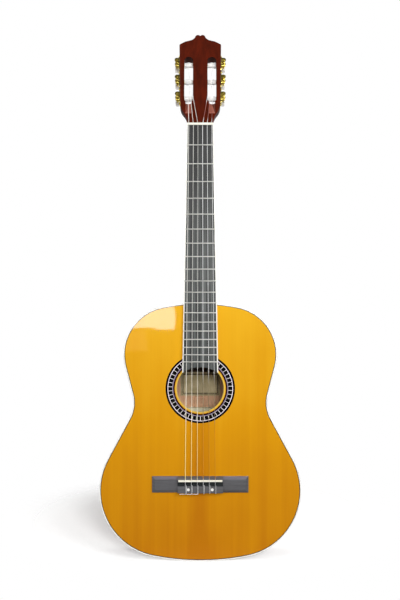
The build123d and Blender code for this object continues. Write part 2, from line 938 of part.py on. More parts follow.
with BuildPart() as plate_screws_bass:
    for place in plate_screw_places:
        with BuildSketch(Plane.XY.offset(tuner_plate_thickness)):
            with Locations((place, 0)):
                Circle(plate_screw_radius)
        extrude(amount=-plate_screw_length)
        with BuildSketch(Plane.XY.offset(tuner_plate_thickness)):
            with Locations((place, 0)):
                Circle(plate_screw_head_radius)
        extrude(amount=plate_screw_head_height, taper=plate_screw_head_taper)

def is_outer_edge(edge):
    """Whether an edge runs round the face or the back of the head, short of its notched tip."""
    middle = edge.center()
    from_centre = abs(head_plane.to_local_coords(middle).Z + head_thickness / 2)
    in_a_face = abs(from_centre - head_thickness / 2) < edge_tolerance
    above_nut = middle.Z > nut_back_height + edge_tolerance
    return in_a_face and above_nut and abs(middle.X) > head_crest[3][0]


with BuildPart() as headstock:
    extrude(head_outline(), amount=-head_thickness)
    split(bisect_by=Plane.XY.offset(nut_back_height), keep=Keep.TOP)
    chamfer(headstock.edges().filter_by(is_outer_edge), head_edge_bevel)
    add(head_scoop.part, mode=Mode.SUBTRACT)
    with BuildSketch(head_plane):
        with Locations((0, (slot_start + slot_end) / 2)):
            with GridLocations(slot_spacing, 0, 2, 1):
                SlotOverall(slot_end - slot_start, slot_width, rotation=90)
    extrude(amount=-head_thickness, mode=Mode.SUBTRACT)
    for tool in (slot_ramp.part, roller_bores.part, on_head(plate_screws_bass.part)):
        add(tool, mode=Mode.SUBTRACT)
        add(mirror(tool, about=Plane.YZ, mode=Mode.PRIVATE), mode=Mode.SUBTRACT)
finish(headstock, "headstock")

# ---------------------------------------------------------------------------------------------
# Runs of the strings
# ---------------------------------------------------------------------------------------------
string_count = len(string_names)


def string_across(number, spacing):
    """Place of a string across the neck, from the bass side."""
    return spacing * (number / (string_count - 1) - 0.5)


def string_tuner(number):
    """Side (-1 bass, 1 treble) and number of the tuner that a string runs to."""
    if number < string_count / 2:
        return -1, number
    return 1, string_count - 1 - number


def nut_crossing(number):
    """The axis of a string where it leaves the front edge of the nut."""
    rise = string_over_first_fret + string_diameters[number] / 2
    return Vector(string_across(number, nut_spacing), fret_top - rise, nut_height)


def saddle_bend(number):
    """Radius of a string's bend over the saddle, about the centre of its rounded crown."""
    return saddle_thickness / 2 + crown_gap + string_diameters[number] / 2


def saddle_corner(number):
    """Where the runs of a string either side of the saddle would meet."""
    share = number / (string_count - 1)
    rise = saddle_rise_bass + share * (saddle_rise_treble - saddle_rise_bass)
    rise += string_diameters[number] / 2
    bend = saddle_bend(number)
    run = saddle_height - tie_front
    drop = rise - bend - tie_hole_height
    fall = atan2(drop, run) + asin(bend / hypot(run, drop))
    across = string_across(number, bridge_spacing)
    return Vector(across, -rise, saddle_height - bend * tan(fall / 2))


def roller_landing(number):
    """The end of a string, tangent to its roller."""
    side, tuner = string_tuner(number)
    lift = roller_radius + string_diameters[number] / 2 + landing_gap
    return head_point(
        side * string_landings[tuner], tuner_places[tuner], head_thickness / 2 - lift
    )


def string_route(number):
    """Corners of a string from its roller, over nut and saddle, round the tie block."""
    radius = string_diameters[number] / 2
    across = string_across(number, bridge_spacing)
    clear = radius + tail_leg
    return_leg = across + 2 * radius + tail_leg
    over_block = -tie_block_height - radius - knot_lift
    return [
        roller_landing(number),
        nut_crossing(number),
        saddle_corner(number),
        Vector(across, -tie_hole_height, tie_front),
        Vector(across, -tie_hole_height, bridge_tail_end - clear),
        Vector(return_leg, over_block, bridge_tail_end - clear),
        Vector(return_leg, over_block, tie_front + clear),
        Vector(return_leg, -tie_hole_height - 2 * radius, tie_front + clear),
    ]


for number, name in enumerate(string_names):
    bends = [string_bend, saddle_bend(number), string_bend] + [knot_bend] * 3
    with BuildPart() as string:
        with BuildLine() as route:
            FilletPolyline(*string_route(number), radius=bends)
        with BuildSketch(Plane(origin=route.line @ 0, z_dir=route.line % 0)):
            Circle(string_diameters[number] / 2)
        sweep()
    finish(string, name)

# ---------------------------------------------------------------------------------------------
# Nut, saddle and bridge
# ---------------------------------------------------------------------------------------------
nut_top = fret_top - string_over_first_fret - nut_shoulder
with BuildPart() as nut:
    with BuildSketch(Plane.YZ.offset(-head_base_half)):
        with BuildLine():
            Polyline(
                (0, nut_height),
                (nut_top, nut_height),
                (nut_top + nut_thickness * tan(radians(nut_slope)), nut_back_height),
                (0, nut_back_height),
                close=True,
            )
        make_face()
    extrude(amount=2 * head_base_half)
    for number in range(string_count):
        crossing = nut_crossing(number)
        heading_up = roller_landing(number) - crossing
        slot_radius = string_diameters[number] / 2 + string_clearance
        slot_plane = Plane(origin=crossing, x_dir=(1, 0, 0), z_dir=heading_up.normalized())
        with BuildSketch(slot_plane):
            Circle(slot_radius)
            with Locations((0, -nut_thickness / 2)):
                Rectangle(2 * slot_radius, nut_thickness)
        extrude(amount=2 * nut_thickness, both=True, mode=Mode.SUBTRACT)
finish(nut, "nut")

saddle_low = saddle_slot_depth - bridge_height
crown_slope = (saddle_rise_bass - saddle_rise_treble) / bridge_spacing


def crown_rise(across):
    """Height of the saddle's crown in front of the top, at a place across it."""
    middle = (saddle_rise_bass + saddle_rise_treble) / 2 - crown_gap
    return middle - crown_slope * across


with BuildPart() as saddle:
    with BuildSketch(Plane.XY.offset(saddle_height - saddle_thickness / 2)):
        half = saddle_length / 2
        with BuildLine():
            Polyline(
                (-half, saddle_low),
                (half, saddle_low),
                (half, -crown_rise(half)),
                (-half, -crown_rise(-half)),
                close=True,
            )
        make_face()
    extrude(amount=saddle_thickness)
    crown_edges = saddle.faces().sort_by(Axis.Y)[0].edges().filter_by(
        lambda edge: edge.length > saddle_length / 2
    )
    fillet(crown_edges, radius=saddle_crown_radius)
finish(saddle, "saddle")

bolt_head_face = bolt_cap_height - tie_block_height
bolt_head_seat = bolt_head_face + bolt_head_height


with BuildPart() as bridge_bolt:
    add(post(bolt_head_radius, bolt_head_face, bolt_head_seat))
    add(post(bolt_radius, bolt_head_seat, top_thickness + bolt_nut_height + 1))
    add(post(bolt_nut_radius, top_thickness, top_thickness + bolt_nut_height))
finish_group([bridge_bolt.part.moved(spot) for spot in bolt_spots], "bridge_bolts")

bolt_cap = post(bolt_head_radius, -tie_block_height, bolt_head_face)
finish_group([bolt_cap.moved(spot) for spot in bolt_spots], "bolt_caps")

tie_hole_radius = max(string_diameters) / 2 + tie_hole_clearance
wing_bevel_angle = degrees(atan2(wing_bevel, wing_height - wing_side_height))
with BuildPart() as bridge:
    with BuildSketch(Plane.YZ.offset(-bridge_body_width / 2)):
        with BuildLine():
            Polyline(
                (0, bridge_top_end),
                (-bridge_front_edge, bridge_top_end),
                (-bridge_height, bridge_top_end - bridge_ramp),
                (-bridge_height, saddle_height - saddle_land),
                (-tie_block_height, tie_front),
                (-tie_block_height, bridge_tail_end),
                (0, bridge_tail_end),
                close=True,
            )
        make_face()
    extrude(amount=bridge_body_width)
    for low, rise, taper in (
        (0, wing_side_height, 0),
        (wing_side_height, wing_height - wing_side_height, wing_bevel_angle),
    ):
        with BuildSketch(Plane.XZ.offset(low)):
            with Locations((0, (bridge_top_end + bridge_tail_end) / 2)):
                Rectangle(bridge_width, bridge_length)
        extrude(amount=rise, taper=taper)
    add(
        block(
            (-bridge_body_width / 2, -bridge_height - 1, tie_front),
            (bridge_body_width / 2, -trough_floor, saddle_height - saddle_land),
        ),
        mode=Mode.SUBTRACT,
    )
    with BuildSketch(Plane.XZ.offset(bridge_height)):
        with Locations((0, saddle_height)):
            Rectangle(saddle_length, saddle_thickness)
    extrude(amount=-saddle_slot_depth, mode=Mode.SUBTRACT)
    with BuildSketch(Plane.XY.offset(tie_front)):
        with Locations((0, -tie_hole_height)):
            with GridLocations(bridge_spacing / (string_count - 1), 0, string_count, 1):
                Circle(tie_hole_radius)
    extrude(amount=-bridge_length, mode=Mode.SUBTRACT)
    for spot in bolt_spots:
        add(post(bolt_radius, -bridge_height, 1).moved(spot), mode=Mode.SUBTRACT)
        add(
            post(bolt_head_radius, -bridge_height, bolt_head_seat).moved(spot),
            mode=Mode.SUBTRACT,
        )
finish(bridge, "bridge")

# ---------------------------------------------------------------------------------------------
# Tuning machines
# ---------------------------------------------------------------------------------------------
plate_middle = (2 * tuner_pitch + tuner_plate_above - tuner_plate_below) / 2
plate_length = 2 * tuner_pitch + tuner_plate_above + tuner_plate_below
scallop_centre = tuner_plate_waist / 2 + tuner_plate_scallop

with BuildPart() as tuner_plate:
    with BuildSketch():
        with Locations((plate_middle, 0)):
            RectangleRounded(plate_length, tuner_plate_width, tuner_plate_width / 3)
        for place in plate_screw_places[1:-1]:
            with Locations((place, scallop_centre), (place, -scallop_centre)):
                Circle(tuner_plate_scallop, mode=Mode.SUBTRACT)
    extrude(amount=tuner_plate_thickness)
    for number in range(3):
        worm_place = number * tuner_pitch + worm_offset
        for side in (-1, 1):
            lug_plane = Plane(
                origin=(worm_place, side * lug_spacing / 2, 0), x_dir=(1, 0, 0), z_dir=(0, -1, 0)
            )
            with BuildSketch(lug_plane):
                with Locations((0, worm_rise / 2)):
                    Rectangle(2 * lug_radius, worm_rise)
                with Locations((0, worm_rise)):
                    Circle(lug_radius)
            extrude(amount=lug_thickness / 2, both=True)
            with BuildSketch(lug_plane):
                with Locations((0, worm_rise)):
                    Circle(worm_shaft_radius + running_clearance)
            extrude(amount=lug_thickness, both=True, mode=Mode.SUBTRACT)
        with BuildSketch():
            with Locations((number * tuner_pitch, 0)):
                Circle(journal_radius + running_clearance)
        extrude(amount=tuner_plate_thickness, mode=Mode.SUBTRACT)
    with BuildSketch():
        for place in plate_screw_places:
            with Locations((place, 0)):
                Circle(plate_screw_radius)
    extrude(amount=tuner_plate_thickness, mode=Mode.SUBTRACT)


def both_sides(part, name, number=0):
    """Write a tuner piece for the bass side and its mirror image for the treble side."""
    with BuildPart() as bass:
        add(on_head(part, number))
    with BuildPart() as treble:
        add(mirror(on_head(part, number), about=Plane.YZ, mode=Mode.PRIVATE))
    finish(bass, f"{name}_bass")
    finish(treble, f"{name}_treble")


both_sides(tuner_plate.part, "tuner_plate")
screws = on_head(plate_screws_bass.part)
screw_solids = list(screws.solids()) + list(mirror(screws, about=Plane.YZ).solids())
export_step(Compound(label="plate_screws", children=screw_solids), "parts/plate_screws.step")

# One tooth and one thread share the same flanks
flank = tan(radians(tooth_flank_angle))
tip_half = tooth_thickness / 2 - tooth_tip_height * flank
root_half = tooth_thickness / 2 + tooth_root_depth * flank
gear_tip_radius = gear_pitch_radius + tooth_tip_height
gear_root_radius = gear_pitch_radius - tooth_root_depth
worm_tip_radius = worm_pitch_radius + tooth_tip_height
thread_root_half = tooth_thickness / 2 + (worm_pitch_radius - worm_shaft_radius) * flank
thread_pitch = pi * gear_module
tooth_turn = 360 / gear_teeth

with BuildPart() as gear_wheel:
    with BuildSketch(Plane.XY.offset(gear_face)):
        Circle(gear_root_radius)
        with PolarLocations(0, gear_teeth, start_angle=tooth_turn / 2):
            Polygon(
                (gear_root_radius - root_half, -root_half),
                (gear_root_radius, -root_half),
                (gear_tip_radius, -tip_half),
                (gear_tip_radius, tip_half),
                (gear_root_radius, root_half),
                (gear_root_radius - root_half, root_half),
                align=None,
            )
    extrude(amount=gear_thickness)
    add(peg(gear_collar_radius, tuner_plate_thickness + running_clearance, gear_face))
    add(peg(gear_screw_radius, gear_top, gear_top + gear_screw_height))

# The worm is drawn upright, with the gear on its +x side, and then laid across the head.
worm_plane = Plane(origin=(worm_offset, 0, worm_rise), x_dir=(-1, 0, 0), z_dir=(0, 1, 0))
thread_length = worm_turns * thread_pitch
thread_height = worm_tip_radius - worm_shaft_radius
shaft_front = -(lug_spacing + lug_thickness) / 2 - shaft_stub
button_start = head_thickness / 2 + button_gap
shaft_seat = button_start + button_collar_length + button_seat_depth
with BuildPart() as worm:
    add(peg(worm_shaft_radius, shaft_front, shaft_seat))
    with BuildLine() as thread_path:
        Helix(
            pitch=thread_pitch,
            height=thread_length,
            radius=worm_shaft_radius,
            center=(0, 0, -thread_length / 2),
        )
    thread_start = Plane(
        origin=thread_path.line @ 0, x_dir=(1, 0, 0), z_dir=thread_path.line % 0
    )
    with BuildSketch(thread_start):
        Polygon(
            (-thread_sink, -thread_root_half),
            (thread_height, -tip_half),
            (thread_height, tip_half),
            (-thread_sink, thread_root_half),
            align=None,
        )
    sweep(path=thread_path.line, is_frenet=True)

button_middle = button_start + button_collar_length + button_length / 2
with BuildPart() as button:
    with BuildSketch(Plane.XZ):
        with Locations((0, button_middle)):
            RectangleRounded(button_width, button_length, button_corner_radius)
    extrude(amount=button_thickness / 2, both=True)
    rims = button.faces().filter_by(Axis.Y).edges()
    fillet(rims, radius=button_edge_radius)
    with BuildSketch(Plane.XY.offset(button_start)):
        Circle(button_collar_radius)
    extrude(amount=button_collar_length + button_edge_radius)
    add(peg(worm_shaft_radius, button_start, shaft_seat), mode=Mode.SUBTRACT)


def gear(number):
    """Gear wheel, its journal through the head's side and the core of its roller."""
    journal_end = -wall_at(number) - end_float
    core_end = journal_end - slot_width - core_seat_depth + 2 * end_float
    with BuildPart() as shaft:
        add(gear_wheel.part)
        add(peg(journal_radius, journal_end, gear_face))
        add(peg(core_radius, core_end, journal_end))
    return shaft.part


def roller(number):
    """Sleeve on the gear's core, across the slot, with the turns of string wound on it."""
    journal_end = -wall_at(number) - end_float
    sleeve_end = journal_end - slot_width + 2 * end_float
    diameter = max(string_diameters[number], string_diameters[string_count - 1 - number])
    landing = -(side_half_width(tuner_places[number]) - string_landings[number])
    winding_end = landing + diameter
    with BuildPart() as sleeve:
        add(peg(roller_radius, sleeve_end, journal_end))
        add(peg(roller_radius + diameter, winding_end, winding_end + winding_turns * diameter))
        add(peg(core_radius, sleeve_end, journal_end), mode=Mode.SUBTRACT)
    return sleeve.part


for number in range(3):
    order = number + 1
    both_sides(worm.part.moved(worm_plane.location), f"worm_{order}", number)
    both_sides(button.part.moved(worm_plane.location), f"button_{order}", number)
    both_sides(gear(number), f"gear_{order}", number)
    both_sides(roller(number), f"roller_{order}", number)
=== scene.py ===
"""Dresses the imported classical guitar: varnish, inlay, strings, tuning machines, floor and light.

Everything is in metres in the guitar's own frame: X runs to the treble side, +Y from the top
into the body and +Z up the neck. Sizes in the classes below are in millimetres.
"""

from __future__ import annotations

import json
import logging
import math
from dataclasses import dataclass
from enum import Enum
from functools import cached_property
from typing import Any, Callable, Sequence

import bmesh
import bpy
from bmesh.types import BMesh, BMFace, BMVert
from bpy.types import Material, Node, NodeSocket, NodeTree, Object
from mathutils import Matrix, Vector

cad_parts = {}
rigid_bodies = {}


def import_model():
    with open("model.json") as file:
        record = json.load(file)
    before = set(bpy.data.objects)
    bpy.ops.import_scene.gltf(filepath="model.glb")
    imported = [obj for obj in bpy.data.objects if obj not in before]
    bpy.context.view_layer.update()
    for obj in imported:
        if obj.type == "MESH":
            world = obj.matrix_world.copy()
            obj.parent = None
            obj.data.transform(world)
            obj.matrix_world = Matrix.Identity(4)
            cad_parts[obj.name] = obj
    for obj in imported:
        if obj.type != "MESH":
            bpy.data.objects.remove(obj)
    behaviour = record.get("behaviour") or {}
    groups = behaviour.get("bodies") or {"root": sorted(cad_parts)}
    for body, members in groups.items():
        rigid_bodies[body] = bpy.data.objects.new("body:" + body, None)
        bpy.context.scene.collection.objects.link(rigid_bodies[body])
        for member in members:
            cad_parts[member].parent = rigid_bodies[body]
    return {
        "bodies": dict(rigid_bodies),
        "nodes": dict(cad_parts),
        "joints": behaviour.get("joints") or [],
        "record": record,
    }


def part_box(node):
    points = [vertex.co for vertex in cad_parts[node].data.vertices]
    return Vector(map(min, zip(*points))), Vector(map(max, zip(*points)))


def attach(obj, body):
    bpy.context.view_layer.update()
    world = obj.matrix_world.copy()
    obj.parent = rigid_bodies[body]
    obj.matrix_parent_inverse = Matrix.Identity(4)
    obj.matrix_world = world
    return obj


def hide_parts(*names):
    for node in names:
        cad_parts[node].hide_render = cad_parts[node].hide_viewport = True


Pair = tuple[float, float]
Triple = tuple[float, float, float]
Feeds = dict[str | int, Any] | tuple[Any, ...]

LOG = logging.getLogger("guitar")
MM = 0.001
TILES = "tiles"  # stands for the ring of black and white tiles among the rosette's rings
BAND_A_METRE = 2 * math.pi / 20  # scale at which a wave texture has one band to the metre


class Side(Enum):
    """The two long sides of the guitar."""

    BASS = "bass"
    TREBLE = "treble"


class Grain(Enum):
    """Which way the fibres of a piece of wood run."""

    UP_THE_NECK = "up the neck"
    ACROSS = "across"
    ROUND_THE_RIM = "round the rim"


# Small tools ----------------------------------------
def linear(colour: str) -> tuple[float, float, float, float]:
    """Turns an sRGB hex colour to linear light.

    Args:
        colour: hex colour, such as "#d8921c".

    Returns:
        Red, green, blue and alpha.
    """
    channels = [int(colour[i : i + 2], 16) / 255 for i in (1, 3, 5)]
    light = [c / 12.92 if c <= 0.04045 else ((c + 0.055) / 1.055) ** 2.4 for c in channels]
    return light[0], light[1], light[2], 1.0


@dataclass(frozen=True)
class Net:
    """The node tree of one material or of the surround, which a pattern fills."""

    tree: NodeTree
    shader: Node | None = None

    def feed(self, node: Node, feeds: Feeds) -> None:
        """Sets or links the inputs of a node.

        Args:
            node: the node.
            feeds: constants, or output sockets to link, by the name or number of the input; a
                tuple feeds the inputs in their order.
        """
        for name, value in feeds.items() if isinstance(feeds, dict) else enumerate(feeds):
            if isinstance(value, NodeSocket):
                self.tree.links.new(value, node.inputs[name])
            else:
                node.inputs[name].default_value = value

    def add(self, kind: str, feeds: Feeds = (), **settings: Any) -> Node:
        """Adds one shader node with its settings and links.

        Args:
            kind: class of the node without its "ShaderNode" start.
            feeds: what its inputs get, as in feed().
            settings: attributes to set; "stops" fills a colour ramp with (place, colour) pairs.

        Returns:
            The new node.
        """
        node = self.tree.nodes.new("ShaderNode" + kind)
        for name, value in settings.items():
            if name != "stops":
                setattr(node, name, value)
                continue
            ramp = node.color_ramp.elements
            while len(ramp) < len(value):
                ramp.new(value[len(ramp) - 1][0])
            for stop, (place, colour) in zip(ramp, value):
                stop.position = place
                stop.color = linear(colour)
        self.feed(node, feeds)
        return node


def circle(first: Vector, second: Vector, count: int) -> list[Vector]:
    """Directions all round, from the first one by way of the second."""
    turns = (2 * math.pi * step / count for step in range(count))
    return [math.cos(turn) * first + math.sin(turn) * second for turn in turns]


def skin(mesh: BMesh, rows: Sequence[list[BMVert]], closed: bool = False) -> list[BMFace]:
    """Joins rows of corners to a skin.

    Args:
        mesh: geometry that has the corners.
        rows: rings of corners in order; a ring of one corner is a point.
        closed: True where the last ring joins the first; else both get an end face.

    Returns:
        The faces of the skin.
    """
    faces = []
    for low, high in zip(rows, rows[1:] + rows[:1] if closed else rows[1:]):
        sides = max(len(low), len(high))
        for side in range(sides):
            after = (side + 1) % sides
            corners = [low[side % len(low)], low[after % len(low)]]
            corners += [high[after % len(high)], high[side % len(high)]]
            face = list(dict.fromkeys(corners))
            if len(face) > 2:
                faces.append(mesh.faces.new(face))
    ends = [] if closed else [rows[0][::-1], rows[-1]]
    faces += [mesh.faces.new(end) for end in ends if len(end) > 2]
    bmesh.ops.recalc_face_normals(mesh, faces=faces)
    return faces


def lathe(
    name: str,
    profile: Sequence[Pair],
    foot: Vector,
    axis: Vector,
    closed: bool = False,
    steps: int = 48,
) -> Object:
    """Turns a profile about an axis.

    Args:
        name: name of the piece.
        profile: (radius, height) points in metres, heights along the axis from its foot.
        foot: point on the axis where heights start.
        axis: direction of the axis.
        closed: True where the profile is a loop, as for a ring.
        steps: number of flats round the axis.

    Returns:
        The turned piece.
    """
    along = axis.normalized()
    first = along.orthogonal().normalized()
    rays = circle(first, along.cross(first), steps)
    mesh = bmesh.new()
    rows = []
    for radius, height in profile:
        spokes = rays if radius > 0 else rays[:1]
        rows.append([mesh.verts.new(foot + height * along + radius * ray) for ray in spokes])
    skin(mesh, rows, closed)
    return to_object(name, mesh)


def tube(name: str, points: Sequence[Vector], radius: float, sides: int = 10) -> Object:
    """Sweeps a circle along straight runs.

    Args:
        name: name of the piece.
        points: corners of the path in metres.
        radius: radius in metres.
        sides: number of flats round the tube.

    Returns:
        The tube, closed at both ends.
    """
    mesh = bmesh.new()
    rows = []
    for number, point in enumerate(points):
        ahead = points[min(number + 1, len(points) - 1)] - points[max(number - 1, 0)]
        first = ahead.cross(Vector((0.0, 0.0, 1.0))).normalized()
        rays = circle(first, ahead.cross(first).normalized(), sides)
        rows.append([mesh.verts.new(point + radius * ray) for ray in rays])
    skin(mesh, rows)
    return to_object(name, mesh)


def to_object(name: str, mesh: BMesh, crease: float = 35.0) -> Object:
    """Turns a bmesh into a linked object with smooth faces and sharp creases.

    Args:
        name: name of the piece.
        mesh: the geometry, which is freed.
        crease: angle in degrees above which an edge stays sharp.

    Returns:
        The new object.
    """
    data = bpy.data.meshes.new(name)
    mesh.to_mesh(data)
    mesh.free()
    for polygon in data.polygons:
        polygon.use_smooth = True
    data.set_sharp_from_angle(angle=math.radians(crease))
    piece = bpy.data.objects.new(name, data)
    bpy.context.scene.collection.objects.link(piece)
    return piece


def carve(piece: Object, cutter: Object) -> None:
    """Cuts one object out of another and drops the cutter.

    Args:
        piece: object that keeps what is left.
        cutter: object that is taken out of it.
    """
    change = piece.modifiers.new("cut", "BOOLEAN")
    change.operation = "DIFFERENCE"
    change.solver = "EXACT"
    change.object = cutter
    graph = bpy.context.evaluated_depsgraph_get()
    result = bpy.data.meshes.new_from_object(piece.evaluated_get(graph))
    piece.modifiers.remove(change)
    piece.data = result
    bpy.data.objects.remove(cutter)


def brick(name: str, centre: Vector, edges: Sequence[Vector]) -> Object:
    """A block that serves as a cutter.

    Args:
        name: name of the object.
        centre: its middle.
        edges: its three edges as vectors.

    Returns:
        The block.
    """
    mesh = bmesh.new()
    bmesh.ops.create_cube(mesh, size=1.0)
    frame = Matrix(edges).transposed().to_4x4()
    bmesh.ops.transform(mesh, matrix=Matrix.Translation(centre) @ frame, verts=mesh.verts)
    bmesh.ops.recalc_face_normals(mesh, faces=mesh.faces)
    return to_object(name, mesh)


def cover(piece: Object, *materials: Material) -> None:
    """Gives an object its materials, the first of them on every face.

    Args:
        piece: object to cover.
        materials: materials in the order of the slots.
    """
    piece.data.materials.clear()
    for material in materials:
        piece.data.materials.append(material)
    for polygon in piece.data.polygons:
        polygon.material_index = 0


def pick_faces(node: Object, slot: int, chosen: Callable[[Vector, Vector], bool]) -> None:
    """Moves some faces of an object to another material slot.

    Args:
        node: object whose faces are sorted.
        slot: slot that the chosen faces get.
        chosen: takes a face's middle in metres and its normal, and says whether it moves.
    """
    for polygon in node.data.polygons:
        if chosen(polygon.center, polygon.normal):
            polygon.material_index = slot


# Finishes ----------------------------------------
@dataclass(frozen=True)
class Finish:
    """A surface with one colour and gloss; the classes below add what theirs shows."""

    label: str
    colour: str
    roughness: float = 0.4
    metallic: float = 0.0
    ior: float = 1.5
    coat: float = 0.0
    coat_roughness: float = 0.04
    specular: float = 0.5

    def pattern(self, net: Net) -> None:
        """Adds what varies over the surface; a plain finish adds nothing."""

    def build(self) -> Material:
        """Makes the material, with its constants on the shader's own sockets.

        Returns:
            The finished material.
        """
        material = bpy.data.materials.new(self.label)
        material.use_nodes = True
        material.diffuse_color = linear(self.colour)
        shader = material.node_tree.nodes["Principled BSDF"]
        constants = {
            "Base Color": linear(self.colour),
            "Roughness": self.roughness,
            "Metallic": self.metallic,
            "Coat Weight": self.coat,
            "Coat Roughness": self.coat_roughness,
        }
        if not self.metallic:
            constants |= {"IOR": self.ior, "Specular IOR Level": self.specular}
        for name, value in constants.items():
            shader.inputs[name].default_value = value
        self.pattern(Net(material.node_tree, shader))
        return material


@dataclass(frozen=True)
class StainedWood(Finish):
    """Plain-sawn hardwood: long streaks, and short dark pores that run with them."""

    dark: str = "#2a0d08"
    grain: Grain = Grain.UP_THE_NECK
    streaks: Pair = (5.0, 160.0)  # distance from one to the next, and length
    contrast: Pair = (0.3, 0.68)  # closer together for sharper streaks
    # distance and length; real pores are 0.2 mm wide, and these are as coarse as shows
    pores: Pair = (0.7, 12.0)
    pore_onset: Pair = (0.58, 0.72)  # closer together for sharper pores
    pore_tint: str = "#2a1a14"
    pore_depth: float = 0.5
    relief: float = 0.08
    relief_depth: float = 0.4
    # heights between which the colour darkens, and how far: painted shade inside the body, and a
    # darker run towards the nut on the board; none for even wood
    dusk: Triple | None = None
    dusk_tint: str = "#0b0b0b"

    def scales(self, wide: float, long: float) -> Triple:
        """Scales that make a figure so wide, and so long along the fibres, in millimetres."""
        wide, long = 1 / (wide * MM), 1 / (long * MM)
        return {
            Grain.UP_THE_NECK: (wide, wide, long),
            Grain.ACROSS: (long, wide, wide),
            Grain.ROUND_THE_RIM: (long, wide, long),
        }[self.grain]

    def pattern(self, net: Net) -> None:
        """Streaks change the colour; pores darken it and make the surface a little rough.

        Args:
            net: nodes of the material.
        """
        place = net.add("TexCoord").outputs["Object"]
        figures = []
        # sizes, number of finer layers and their strength
        for sizes, detail, fineness in ((self.streaks, 3.0, 0.55), (self.pores, 1.0, 0.5)):
            feeds = {"Vector": place, "Scale": self.scales(*sizes)}
            spread = net.add("Mapping", feeds).outputs[0]
            feeds = {"Vector": spread, "Scale": 1.0, "Detail": detail, "Roughness": fineness}
            figures.append(net.add("TexNoise", feeds).outputs["Fac"])
        streaks, pores = figures
        stops = tuple(zip(self.contrast, (self.dark, self.colour)))
        colour = net.add("ValToRGB", (streaks,), stops=stops).outputs[0]
        dots = net.add("MapRange", (pores, *self.pore_onset, 0.0, self.pore_depth)).outputs[0]
        feeds = {0: dots, 6: colour, 7: linear(self.pore_tint)}
        colour = net.add("Mix", feeds, data_type="RGBA", blend_type="MULTIPLY").outputs[2]
        # darkening with height: painted shade on the bare mahogany inside the body
        if self.dusk:
            low, high, depth = self.dusk
            height = net.add("SeparateXYZ", (place,)).outputs["Z"]
            shade = net.add("MapRange", (height, low * MM, high * MM, 0.0, depth)).outputs[0]
            feeds = {0: shade, 6: colour, 7: linear(self.dusk_tint)}
            colour = net.add("Mix", feeds, data_type="RGBA").outputs[2]
        feeds = {"Strength": self.relief, "Distance": self.relief_depth * MM, "Height": dots}
        normal = net.add("Bump", feeds, invert=True).outputs[0]
        net.feed(net.shader, {"Base Color": colour, "Normal": normal})


